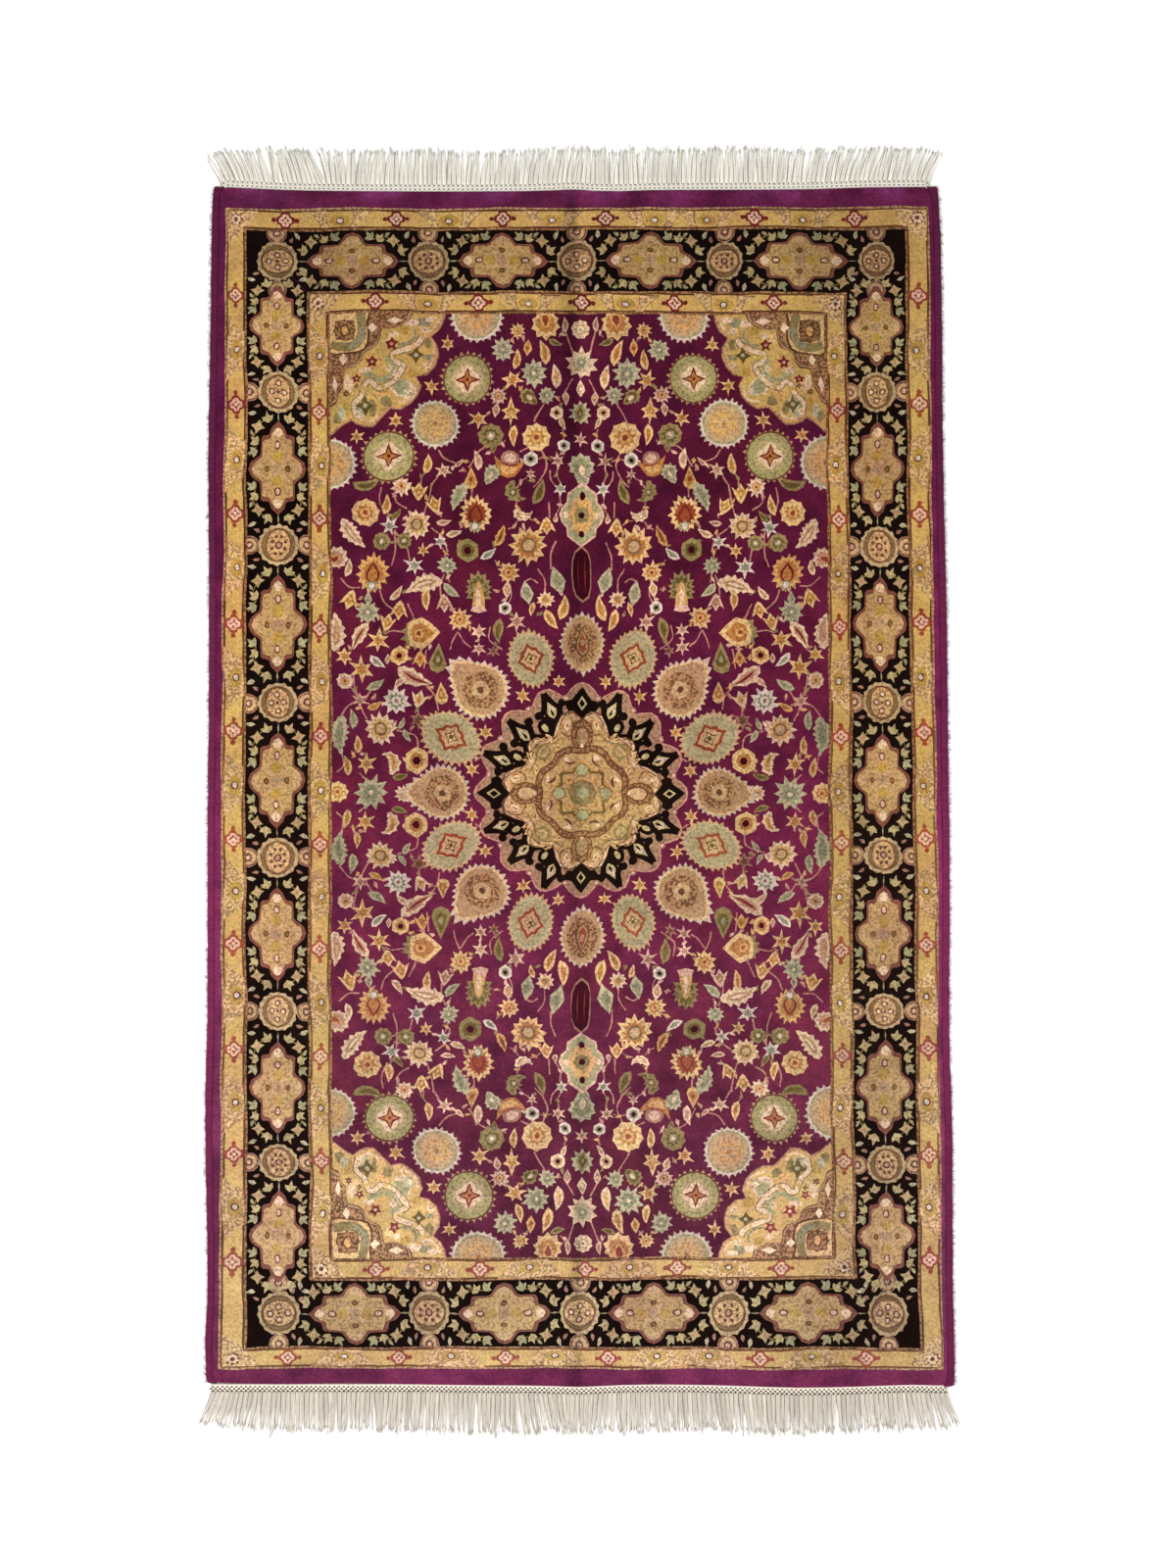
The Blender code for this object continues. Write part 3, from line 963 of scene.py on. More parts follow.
def stems():
    """Thin stems from each flower of the field to its two nearest neighbours, as three places."""
    flowers = []
    for kind, out, up, size, _, _ in FIELD_MOTIFS:
        flowers.append((complex(out, up), size * (0.45 if kind in LONG_KINDS else 0.85)))
    joined = set()
    for k, (here, radius) in enumerate(flowers):
        nearest = sorted((abs(other - here), j) for j, (other, _) in enumerate(flowers) if j != k)
        for gap, j in nearest[:2]:
            free = gap - radius - flowers[j][1]
            if free > STEM_LEAST and (j, k) not in joined:
                joined.add((k, j))
                way = (flowers[j][0] - here) / gap
                start = here + way * radius
                bend = STEM_BEND if k % 2 else -STEM_BEND
                yield (start, start + way * free / 2 + 1j * way * free * bend, start + way * free)


def lay_flowers(design, table, flip):
    for kind, out, up, size, lean, scheme in table:
        design.lay(KINDS[kind](size, scheme), out, up, lean, flip)


def lay_roundels(design, table, flip):
    for kind, out, up, size, lean in table:
        design.lay(draw_roundel(kind, size), out, up, lean, flip)


def draw_field(design):
    """The purple field with its vines, flowers and large medallions."""
    for flip in QUARTERS:
        for vine in VINES:
            design.add(flipped(ribbon(vine, VINE_WIDTH), flip), "vine")
        for number, stem in enumerate(stems()):
            design.add(flipped(ribbon(stem, STEM_WIDTH, steps=1), flip), "vine", 0.85)
            way = heading(chance.uniform(0, 360))
            bract = leaf_outline(chance.uniform(6, 9), 3.4, stations=3) * way + stem[1]
            design.add(flipped(bract, flip), BRACT_YARNS[number % len(BRACT_YARNS)])
        for kind, out, up, size, lean, scheme in FIELD_MOTIFS:
            beside_medallion = out > BESIDE_MEDALLION[0] and up < BESIDE_MEDALLION[1]
            design.tone = FIELD_TONE * (MID_TONE if beside_medallion else 1)
            design.lay(KINDS[kind](size * FULLNESS, scheme), out, up, lean, flip)
        design.tone = FIELD_TONE
        for out, up, size in STARS:
            design.lay(star(size, "gold"), out, up, 0, flip)
        lay_roundels(design, ROUNDELS, flip)
    for flip in ((1, 1), (1, -1)):
        lay_flowers(design, AXIS_MOTIFS, flip)
        lay_roundels(design, AXIS_ROUNDELS, flip)
        draw_pendant(design, flip)
    for flip in ((1, 1), (-1, 1)):
        lay_flowers(design, ROW_MOTIFS, flip)
        lay_roundels(design, ROW_ROUNDELS, flip)


# Pendants: distance of the panel up from the middle row, and of the drop down from the panel (knots)
PENDANT_UP = 283
DROP_BELOW = -60j


def draw_pendant(design, flip):
    """A plain pendant on the middle line: a panel with a pointed cap over a dark drop."""
    panel = four_sides(((24, 0), (21, 8), (16, 13), (15, 22), (8, 27), (0, 33)))
    drop = four_sides(((10, 0), (9.6, 14), (7, 23), (0, 29)))
    thread = four_sides(((0.9, 0), (0, 19)))
    motif = [
        (drop + DROP_BELOW, "dusk_pink"),
        (drop * 0.9 + DROP_BELOW, "deep"),
        (thread - 3.4 + DROP_BELOW, "maroon"),
        (thread + 3.4 + DROP_BELOW, "maroon"),
        (panel, "pale_pink"),
        (panel * 0.9, "celadon"),
        (panel * 0.66, "sand"),
        (panel * 0.58, "gold"),
        (petalled(8, 9, 6, 3), "moss"),
        (oval(3.5, count=7), "deep"),
        (oval(3.2, 4, 7) + 19j, "deep"),
        (oval(3.2, 4, 7) - 19j, "deep"),
        (oval(3.4, count=7) + 17, "cream"),
        (oval(3.4, count=7) - 17, "cream"),
    ]
    design.lay(motif, 0, PENDANT_UP, 0, flip, loose=False)


# Inner part of the medallion: degrees from up and reach (knots)
TAN_REACH = (
    (0, 74), (5, 81), (10, 83), (15, 81), (21, 73), (26, 65), (30, 62), (35, 66), (41, 74), (45, 76),
    (49, 74), (55, 66), (60, 62), (64, 65), (69, 73), (75, 81), (80, 83), (85, 81), (90, 74),
)
# Spears round it: degrees from up, reach of their middle and whether they open into a tulip
SPEARS = ((0, 90, False), (20.5, 87.5, True), (44.5, 84, True), (67.5, 87, True), (90, 90, False))
# Bulbs between them: degrees from up, and reach
BULBS = (29.5, 60.5)
BULB_REACH = 74
# One side of a lobe of the rim: share of the way to the next spear, and reach
LOBE = ((0, 110.5), (0.3, 109), (0.6, 104), (0.85, 99), (1.0, 96))
# Yarns of the rim, each with how far it is grown, and the rings of the inner parts
RIM_YARNS = ((1.6, "pink"), (-0.4, "dusk_pink"), (-2.2, "rim"))
TAN_RINGS = ((1.0, "brown"), (0.98, "cream"), (0.95, "sand"), (0.9, "amber"), (0.884, "blend"))
CENTRE_RINGS = ((1.0, "line"), (0.97, "filigree"), (0.885, "line"), (0.855, "blend"))
PLAIN_SPEAR = (
    (0, -16), (5.5, -11), (9, -8), (14, -8.5), (17.5, -3), (15, 3), (10, 3.5), (6.5, 8), (4, 12), (0, 17.5),
)
# Scrolls in a quarter of the inner part: yarn, width, places
SCROLLS = (
    ("filigree", 1.8, ((5, 77), (12, 80), (20, 74), (22, 63), (14, 57), (9, 62), (10, 72))),
    ("filigree", 1.8, ((77, 5), (80, 12), (74, 20), (63, 22), (57, 14), (62, 9), (72, 10))),
    (
        "filigree", 1.6,
        ((24, 62), (30, 53), (38, 52), (45, 56), (52, 50), (50, 42), (54, 33), (61, 26), (68, 24)),
    ),
    ("olive", 1.6, ((20, 56), (30, 50), (38, 50), (46, 42), (48, 32), (54, 22))),
    ("filigree", 1.6, ((28, 55), (36, 58), (43, 52), (52, 44), (58, 36), (55, 28))),
)
# Drops and leaves between them: place out and up, lean
SCROLL_DROPS = ((15, 68, -16), (68, 15, 106))
SCROLL_LEAVES = ((33, 56, 34), (56, 33, 58), (24, 47, 70), (47, 24, 20), (54, 38, 20), (38, 54, 70))
# Eyes between the spears and the rim: degrees from up and reach
EYES = ((9.5, 97), (79, 97), (32, 100), (56, 99))
CENTRE_SQUARE = ((25, 3), (25, 8), (22, 9.5), (22.4, 20.5), (20.5, 22.4), (9.5, 22), (8, 25), (3, 25))
OGEE = ((34, 0), (30, 3), (26.5, 8), (22.5, 12), (22.5, 22.5), (12, 22.5), (8, 26.5), (3, 30), (0, 34))


def open_spear():
    """A tulip between dark limbs that meet in a point."""
    fill = np.array([-7, -2.5 + 7j, 1 + 13j, 3.5 + 5j, 6 - 1j, 5 - 7j, -12j, -5 - 7j])
    return [
        (oval(9, 7, 8) - 4j, "black"),
        (ribbon([-14 + 4j, -7 + 2.5j, -2.5 + 9j, 1 + 20j], 6.6, 2), "black"),
        (ribbon([1 + 20j, 4.5 + 8j, 8 + 2j, 14 + 1j], 6.2, 2), "black"),
        (fill * 0.76 + 0.8j, "leafy"),
        (fill * 0.4 + 2j, "plume"),
        (leaf_outline(9, 2.8, stations=3) - 3j, "black"),
        (ribbon([-11 + 3j, -7 - 6j, -3 - 12j], 4.6, 2), "black"),
        (ribbon([12 + 0j, 7.5 - 8j, 3 - 13j], 4.2, 2), "black"),
        (oval(4.8, 4.4, 8) + (-13 + 4.5j), "black"),
        (oval(4.8, 4.4, 8) + (13 + 0.5j), "black"),
    ]


def plain_spear():
    return [
        (both_sides(PLAIN_SPEAR), "black"),
        (np.array([4.8, 7.6j, -4.8, -7.2j]), "leafy"),
        (np.array([3, 4.4j, -3, -4.2j]), "black"),
    ]


def bulb():
    return [
        (oval(7, 9.6, 10) + 1j, "black"),
        (oval(2.8, 4.6, 8) + 1.5j, "leafy"),
        (oval(3.6, 4, 7) - 7.6j, "black"),
    ]


def dark_sector():
    """The dark band behind the spears in a quarter of the medallion."""
    degrees, reach = np.array(TAN_REACH).T
    angles = np.arange(16, 75, 3.0)
    reach = np.interp(angles, degrees, reach)
    way = 1j * np.exp(-1j * np.radians(angles))
    return np.concatenate([way * (reach + 6.5), (way * (reach - 2))[::-1]])


def lobed(grown):
    """The medallion's lobed rim: a round lobe about each spear."""
    angles = [spear[0] for spear in SPEARS]
    points = []
    for first, last in zip(angles, angles[1:]):
        half = (last - first) / 2
        points += [(first + half * step, reach) for step, reach in LOBE]
        points += [(last - half * step, reach) for step, reach in LOBE[-2:0:-1]]
    points.append((90, LOBE[0][1]))
    return stretched(polar_outline([(angle, reach + grown) for angle, reach in points]), 0.985, 1)


def draw_spears(design, flip):
    """The dark part of a quarter of the medallion: its spears and bulbs, and the eyes beyond them."""
    design.lay([(dark_sector(), "black")], 0, 0, 0, flip, loose=False)
    for degrees, reach, opened in SPEARS:
        drawn_before = flip[0] < 0 and degrees == 0 or flip[1] < 0 and degrees == 90
        if not drawn_before:
            spear = open_spear() if opened else plain_spear()
            design.lay(spear, *spoke(degrees, reach), degrees, flip, loose=False)
    for degrees in BULBS:
        design.lay(bulb(), *spoke(degrees, BULB_REACH), degrees, flip, loose=False)
    eye = [(oval(4, 3, 7), "dusk_pink"), (oval(2, 1.4, 5), "pale_pink")]
    for degrees, reach in EYES:
        design.lay(eye, *spoke(degrees, reach), degrees, flip)


def draw_scrolls(design, flip):
    """The scrolls of a quarter of the inner part, with their flower, drops and leaves."""
    bloom = [
        (petalled(5, 9.5, 6.6, 3), "moss"),
        (petalled(5, 6, 4.2, 3), "blend"),
        (oval(2.2, count=5), "sage"),
    ]
    design.lay(bloom, 40, 42, 45, flip)
    for yarn, width, places in SCROLLS:
        design.add(flipped(ribbon(places, width), flip), yarn)
    drop = [(oval(3, 5.4, 8), "cream"), (oval(1.4, 2.8, 5), "amber")]
    for out, up, lean in SCROLL_DROPS:
        design.lay(drop, out, up, lean, flip, loose=False)
    blade = [(leaf_outline(12, 3.6, 60), "light_gold"), (leaf_outline(7, 1.6, 40), "filigree")]
    for out, up, lean in SCROLL_LEAVES:
        design.lay(blade, out, up, lean, flip)


def draw_loops(design):
    """Four long loops that reach out from the centre."""
    body = both_sides(((0, -20), (5, -14), (10.5, -4), (11.5, 6), (8, 15), (0, 20)))
    for turn in (0, 90, 180, 270):
        loop = [
            (body, "line"),
            (body * 0.9, "filigree"),
            (body * 0.64, "line"),
            (body * 0.54, "sand" if turn in (90, 270) else "beige"),
            (both_sides(DROP, 5.5) - 10j, "cream"),
        ]
        design.lay(loop, *spoke(turn, 55), turn, loose=False)


def draw_centre(design):
    """The eight-lobed flower in the middle, with an ogee star, a square and a rosette on it."""
    design.add_rings(petalled(8, 50, 43, 5, 22.5), CENTRE_RINGS)
    for turn in range(8):
        degrees = 22.5 + 45 * turn
        design.lay([(both_sides(DROP, 4.6), "cream")], *spoke(degrees, 38), degrees + 60)
        design.lay([(leaf_outline(14, 2.8, 100), "brown")], *spoke(degrees, 33), degrees - 60)
        design.lay([(leaf_outline(12, 2.4, 100), "filigree")], *spoke(degrees + 22.5, 30), degrees + 110)
    design.add_rings(four_sides(OGEE), ((1.0, "amber"), (0.95, "guard")))
    design.add_rings(four_sides(CENTRE_SQUARE), ((1.0, "dark_olive"), (0.89, "blend")))
    bud = [(petalled(5, 7.4, 5.4, 3), "olive"), (petalled(5, 6, 4, 3), "celadon")]
    knob = [(oval(4.4, count=6), "gold"), (oval(2, count=4), "amber")]
    for turn in (0, 90, 180, 270):
        design.lay(bud, *spoke(turn, 23.5), turn)
        design.lay(knob, *spoke(turn + 45, 19))
    design.add(petalled(8, 14.6, 10.5, 3), "olive")
    design.add(petalled(8, 13.2, 9, 3), "moss")
    design.add(petalled(6, 7, 3.6, 3), "celadon")


def draw_medallion(design):
    """The sixteen-lobed medallion in the middle of the field."""
    for grown, yarn in RIM_YARNS:
        design.add(lobed(grown), yarn)
    for flip in QUARTERS:
        draw_spears(design, flip)
    design.add_rings(polar_outline(TAN_REACH), TAN_RINGS)
    for flip in QUARTERS:
        draw_scrolls(design, flip)
    draw_loops(design)
    draw_centre(design)


# Corner piece: its outline and the inner limits of its parts (knots in from the side and from the end)
CORNER_OUTLINE = (
    (-2, -2), (118, -2), (116, 8), (112.5, 17), (104, 23.5), (110, 33), (111.5, 43), (107.5, 54), (99, 62),
    (89, 64), (93.5, 73), (90, 84), (82.5, 92.5), (72.5, 98), (61.5, 97), (57.5, 101), (50, 109), (44, 115),
    (35, 115), (26, 111.5), (22, 108), (12.5, 113.5), (3.5, 121.5), (-2, 125),
)
CORNER_BAND = (
    (-2, -2), (85, -2), (82, 8.5), (75, 13), (68, 16), (61, 17), (53.5, 15.5), (52.5, 20), (51.5, 28),
    (48, 34.5), (40.5, 37.5), (35.5, 41), (33.5, 48.5), (27.5, 54.5), (17, 56.5), (15.5, 63.5), (14.5, 74),
    (9.5, 81), (7, 90), (-2, 96),
)
CORNER_HEART = (
    (-2, -2), (40, -2), (37.5, 10), (39.5, 21), (38.5, 29.5), (35.5, 35.5), (28.5, 38.5), (16.5, 40),
    (5.5, 41.5), (-2, 38),
)
# Layers of the outer part, and those over its flowers: outline, yarn, how far it is grown
OUTER_LAYERS = (
    (CORNER_OUTLINE, "rim", 1.0), (CORNER_OUTLINE, "gold", 0.985), (CORNER_OUTLINE, "guard", 0.962),
)
INNER_LAYERS = (
    (CORNER_BAND, "line", 1.0), (CORNER_BAND, "tan", 0.982), (CORNER_BAND, "line", 0.952),
    (CORNER_BAND, "braid", 0.94), (CORNER_HEART, "line", 1.05), (CORNER_HEART, "light_gold", 1.0),
)
# Ribbons: yarn, width, places
UPPER_RIBBON = ((94, 24), (90, 31), (79, 36), (66, 41), (67, 48), (76, 53), (70, 64))
LOWER_RIBBON = ((69, 66), (60, 73), (50, 76), (44, 70), (38, 71), (33, 84), (25, 92), (27, 105))
CORNER_RIBBONS = (
    ("moss", 8, UPPER_RIBBON),
    ("cream", 5, UPPER_RIBBON),
    ("moss", 7.4, LOWER_RIBBON),
    ("cream", 4.6, LOWER_RIBBON),
    ("sage", 2.6, ((86, 16), (87, 24), (79, 30.5), (70, 32))),
    ("celadon", 4.6, ((59, 46), (66.5, 53), (62, 63), (52, 68.5), (44.5, 63.5), (36, 62.5))),
    ("sand", 2.4, ((105, 30), (106, 40), (103, 50), (95, 57))),
    ("cream", 2.2, ((88, 74), (86, 84), (79, 89), (70, 91))),
    ("cream", 2.2, ((50, 101), (43, 108), (34, 108), (27, 103))),
    ("cream", 2.2, ((111, 6), (108, 13), (101, 19))),
)
HEART_RIBBONS = (
    ("moss", 9, ((31, 0), (33, 12), (33, 24), (24, 33), (12, 34), (2, 32))),
    ("sage", 6, ((33, 14), (34, 22), (28, 30), (20, 34))),
)
# Blotches and small flowers: place, half width and height, yarn
CORNER_BLOTCHES = (
    (95, 36, 4.5, 8, "guard"),
    (78.5, 57.5, 8, 6.5, "gold"),
    (52.5, 82.5, 7.5, 7, "gold"),
    (17, 95, 5, 8, "ochre"),
    (76, 18, 6, 4.5, "ochre"),
    (44.5, 50, 11, 9, "gold"),
    (73.5, 76, 11.5, 11, "cream"),
    (72, 74, 8.5, 8.5, "celadon"),
    (79, 79, 5, 6, "pale_sage"),
    (100.5, 44, 6, 3, "sage"),
    (96, 9, 8, 5, "sage"),
    (33, 96, 9, 11, "pale_sage"),
    (60, 27, 6, 5, "light_gold"),
    (24, 74, 5, 8, "light_gold"),
    (7, 106, 5, 6, "moss"),
    (103, 6, 6, 3, "cream"),
    (84, 10, 9, 4, "cream"),
    (66, 22, 5, 3, "cream"),
    (38, 58, 7, 4, "cream"),
    (20, 70, 4, 8, "cream"),
    (66, 62, 4, 7, "bright"),
    (86, 60, 6, 5, "ochre"),
    (58, 90, 6, 5, "moss"),
    (100, 30, 4, 6, "moss"),
    (12, 100, 4, 7, "pale_sage"),
    (44, 96, 4, 8, "moss"),
)
# Small flowers: place, size, tips, yarn, yarn of the eye
CORNER_FLOWERS = (
    (88.5, 41.5, 8.5, 4, "dark_olive", "pale_sage"),
    (36.5, 93.5, 9.5, 4, "dark_olive", "pale_sage"),
    (64, 31.5, 7.4, 5, "maroon", "pink"),
    (44.5, 49.5, 7.8, 5, "maroon", "pale_pink"),
    (28.5, 66.5, 5.6, 5, "maroon", "pink"),
    (28.5, 74, 3.6, 4, "brown", "tan"),
    (17.5, 80.5, 4.4, 6, "brown", "tan"),
    (80, 79, 4, 4, "bright", "gold"),
    (68, 44, 4.6, 5, "guard", "ochre"),
    (85, 33.5, 3.8, 5, "guard", "cream"),
    (55, 75, 4.2, 5, "guard", "ochre"),
    (36, 77, 4.2, 5, "guard", "ochre"),
    (62, 56, 5.5, 6, "cream", "celadon"),
    (28, 101, 4.4, 5, "cream", "ochre"),
    (97, 17, 5.2, 6, "cream", "celadon"),
    (100, 52, 4.6, 5, "cream", "moss"),
)
# Bright diamonds on the band: place, half width and height
CORNER_DIAMONDS = ((43.5, 15, 5, 5), (14.5, 47, 4, 6), (66, 8, 8, 3.6), (6, 72, 3, 8))
CORNER_SQUARE = ((12, 0), (10.5, 3), (10, 10), (3, 10.5), (0, 12))
# Tone at the bottom end and at the top end: painted light at the bottom and painted shade at the top
CORNER_PAINTED_LIGHT_TONES = (1.1, 0.86)


def from_corner(right, down):
    """Place in the pattern at these distances in from the side and from the end of the field."""
    return complex(FIELD_WIDE - right, FIELD_LONG - down)


def draw_corner_piece(design, flip):
    def layers(table):
        for points, yarn, grown in table:
            outline = np.array([from_corner(right * grown, down * grown) for right, down in points])
            design.add(flipped(outline, flip), yarn)

    def ribbons(table):
        for yarn, width, places in table:
            design.add(flipped(ribbon([from_corner(*place) for place in places], width), flip), yarn)

    def spot(parts, right, down):
        at = from_corner(right, down)
        design.lay(parts, at.real, at.imag, 0, flip)

    layers(OUTER_LAYERS)
    for right, down, wide, tall, yarn in CORNER_BLOTCHES:
        angles = np.arange(9) * 2 * math.pi / 9
        blot = np.array([chance.uniform(0.75, 1.2) for _ in angles]) * np.exp(1j * angles)
        spot([(stretched(blot, wide, tall), yarn)], right, down)
    ribbons(CORNER_RIBBONS)
    for right, down, size, tips, yarn, eye in CORNER_FLOWERS:
        spot([(spiked(tips, size, size * 0.5), yarn), (oval(size * 0.26, count=5), eye)], right, down)
    layers(INNER_LAYERS)
    ribbons(HEART_RIBBONS)
    for right, down, wide, tall in CORNER_DIAMONDS:
        spot([(np.array([wide, 1j * tall, -wide, -1j * tall]), "bright")], right, down)
    square = four_sides(CORNER_SQUARE)
    knob = [
        (square, "line"), (square * 0.92, "filigree"), (oval(5, 7, 9), "line"), (oval(3.6, 5.4, 7), "gold"),
    ]
    spot(knob, 16, 17.5)


def draw_corner_pieces(design):
    """A quarter of a scalloped medallion in each corner of the field."""
    for flip in QUARTERS:
        # Painted light at the bottom end and painted shade at the top
        design.tone = CORNER_PAINTED_LIGHT_TONES[flip[1] > 0]
        draw_corner_piece(design, flip)


# Main border
CARTOUCHE = (
    (48.5, 0), (45.6, 3.2), (42, 6.6), (36, 8.4), (34.6, 10.2), (34, 15), (32, 17), (16, 17.4), (13.4, 18.8),
    (11.2, 22), (7, 27), (0, 29.2),
)
CARTOUCHE_PITCH = 157.0
END_ROUNDELS = (-310.1, -156.5, -3.5, 149.5, 310.1)
SIDE_ROUNDELS = (-542.6, -390.0, -230.0, -67.0, 92.0, 252.0, 409.0, 542.6)
BORDER_COLUMN = FIELD_WIDE + INNER_GUARD + BORDER / 2
BORDER_ROW = FIELD_LONG + INNER_GUARD + BORDER / 2
# Sprigs round a cartouche: kind, place along and across from its middle, size, lean, yarn
BORDER_SPRIGS = (
    ("blossom", 43, 20.5, 7.2, 0, "pale_moss"),
    ("trefoil", 29.5, 24, 5.6, 30, "leafy"),
    ("trefoil", 17.5, 26, 6, -30, "celadon"),
    ("trefoil", 52.5, 11.5, 6.2, 70, "leafy"),
    ("leaf", 56.5, 25.5, 9.5, 15, "pale_sage"),
    ("leaf", 36, 26.5, 7, 60, "celadon"),
    ("leaf", 64, 21, 7.5, -20, "dusk_pink"),
)
TREFOIL = ((0, -0.95), (0.75, -0.5), (0.95, 0.15), (0.35, 0.15), (0, 1))
BORDER_VINE = ((14, 29), (23, 22), (33, 25), (43, 21), (53, 12))


def sprig(kind, size, yarn):
    if kind == "blossom":
        return [(petalled(4, size, size * 0.5, 2), yarn), (oval(size * 0.28, count=4), "vine")]
    if kind == "trefoil":
        return [(both_sides(TREFOIL, size), yarn)]
    return [(leaf_outline(size, size * 0.5, 30, stations=3), yarn)]


def cartouche(size):
    """A cartouche that lies across, made longer or shorter by the size."""
    body = four_sides(CARTOUCHE)
    motif = [
        (body, "mauve"),
        (body * 0.91, "brown"),
        (body * 0.885, "blend"),
        (oval(10.4, 26, 12), "sand"),
        (oval(10, 7, 8) + 12j, "blend"),
        (oval(10, 7, 8) - 12j, "blend"),
        (spiked(8, 7.4, 5.4, 0.05), "tan"),
        (oval(1.9, count=5), "sage"),
    ]
    for side in (-1, 1):
        motif += [
            (oval(6.4, 5.4, 8) + 12.6 * side, "ochre"),
            (oval(5, 3.4, 8) + 24.5 * side, "line"),
            (oval(3.4, 2.1, 6) + 24.5 * side, "pale_pink"),
            (oval(5, 4.6, 7) + 37 * side, "cream"),
            (oval(3.6, 2.8, 7) + 10.5j * side, "line"),
            (oval(2.2, 1.5, 5) + 10.5j * side, "olive"),
        ]
    return [(stretched(outline, size, 1), yarn) for outline, yarn in motif]


def border_roundel(dotted):
    """A scalloped roundel of the border, with eight dots or with four small flowers."""
    heart = oval(15.4, 12, 16)
    motif = [
        (spiked(16, 20.8, 19.4, 0.02), "oat"),
        (oval(17, count=18), "line"),
        (oval(16.4, count=16), "umber"),
        (heart * 1.05, "line"),
        (heart * 0.98, "speckle"),
    ]
    if dotted:
        for k in range(8):
            middle = stretched(7 * np.exp(1j * (k + 0.5) * math.pi / 4), 1.3, 1)
            motif.append((oval(2, count=5) + middle, "brown"))
        motif += [(oval(4.2, count=7), "brown"), (oval(2.4, count=5), "pink")]
    else:
        for k in range(4):
            middle = stretched(6 * np.exp(1j * k * math.pi / 2), 1.4, 1)
            motif += [(oval(3.7, count=6) + middle, "brown"), (oval(2.2, count=5) + middle, "cream")]
        motif.append((oval(1.8, count=5), "line"))
    return motif


def half_medallion():
    """A round flower on the edge of the border, which its guard half covers."""
    return [
        (oval(10.2, count=14), "dusk_pink"),
        (oval(8.9, count=12), "line"),
        (oval(8, count=10), "sand"),
        (oval(4.6, 4.2, 7), "brown"),
        (oval(2.6, 2.2, 5), "pale_pink"),
    ]


# Tone of the border's flowers at the bottom end, at the top end and along the sides; the low tone at the top
# end is painted shade
BORDER_PAINTED_SHADE_TONES = (0.92, 0.78, 1.0)


def draw_between(design, at, size, lean):
    """A cartouche between two roundels, with its vines, sprigs and links."""
    design.lay(cartouche(size), at.real, at.imag, lean, loose=False)
    for flip in QUARTERS:
        vine = flipped(stretched(ribbon(BORDER_VINE, 1.2, steps=1), size, 1), flip)
        design.lay([(vine, "olive")], at.real, at.imag, lean, loose=False)
        for kind, along, across, reach, turned, yarn in BORDER_SPRIGS:
            turned += chance.uniform(-15, 15)
            for part, shade in sprig(kind, reach, yarn):
                part = part * heading(turned) + complex(along, across)
                part = flipped(stretched(part, size, 1), flip)
                design.lay([(part, shade)], at.real, at.imag, lean, loose=False)
    for side in (-1, 1):
        link_bar = four_sides(((5.5, 0), (0, 0.8))) + 52.5 * side * size
        design.lay([(link_bar, "sage")], at.real, at.imag, lean, loose=False)


def draw_border(design):
    """Roundels and cartouches in turn on the dark border, with sprigs between."""
    runs = [(END_ROUNDELS, 1, complex(0, side * BORDER_ROW)) for side in (-1, 1)]
    runs += [(SIDE_ROUNDELS, 1j, complex(side * BORDER_COLUMN, 0)) for side in (-1, 1)]
    for places, way, middle in runs:
        at_end = way == 1
        lean = 0 if at_end else -90
        # Lower tone at the top end: painted shade
        design.tone = BORDER_PAINTED_SHADE_TONES[int(middle.imag > 0) if at_end else 2]
        for number, place in enumerate(places):
            at = middle + way * place
            in_corner = abs(place) >= abs(places[0])
            if at_end or not in_corner:
                for side in (-1, 1):
                    edge = at + way * 1j * side * BORDER / 2 * 0.92
                    design.lay(half_medallion(), edge.real, edge.imag, lean)
                design.lay(border_roundel(number % 2), at.real, at.imag, lean)
        for first, last in zip(places, places[1:]):
            at = middle + way * (first + last) / 2
            draw_between(design, at, (last - first) / CARTOUCHE_PITCH, lean)


# Guards: places of the large flowers along each side, and of the ringed ovals between them
OUTER_END_FLOWERS = (-300.5, -188.5, -79.5, 25.5, 181.5, 287.5)
OUTER_END_OVALS = (-245.5, -134.5, -28.5, 76.0, 131.0, 233.5)
INNER_END_FLOWERS = (-210.5, -105.5, 1.5, 97.5, 202.5)
INNER_END_OVALS = (-157.5, -54.5, 47.5, 149.5)
SIDE_PITCH = 111.0
FIRST_SIDE_FLOWER = 501
OUTER_SHIFT = 6
# From the middle of a guard to its lines
LINE_FROM_MIDDLE = 8.8
QUATREFOIL = ((9.6, 0), (9, 2.6), (6.6, 4), (5.4, 4.4), (5, 5.6), (4.2, 7.6), (2.2, 8.8), (0, 9))
# Stippled corner of a guard, from its outer corner
CORNER_SPRAY = ((8.6, 8.6), (-24, 8.6), (-13, -8.4), (-8.4, -8.4), (-8.4, -13), (8.6, -24))
# Half of the spray beside a ringed oval, from the outer line of the guard inwards
SPRAY = ((13.5, 9), (34, 9), (27, 3), (21, -3), (18.5, -8.6), (9, -9), (11.5, -5.5), (13.2, -1))
SPRAY_HEART = ((-13.5, 9), (13.5, 9), (13.2, -1), (11.5, -5.5), (9, -9), (-9, -9), (-11.5, -5.5), (-13.2, -1))


def guard_flower(edge):
    """A quatrefoil between two small ovals."""
    body = four_sides(QUATREFOIL)
    return [
        (oval(2.8, 2.4, 6) + 11.6, edge),
        (oval(2.8, 2.4, 6) - 11.6, edge),
        (body, edge),
        (body * 0.7, "pale_pink"),
        (spiked(4, 4.8, 2.2, 0.1), edge),
        (oval(2, count=5), "cream"),
    ]


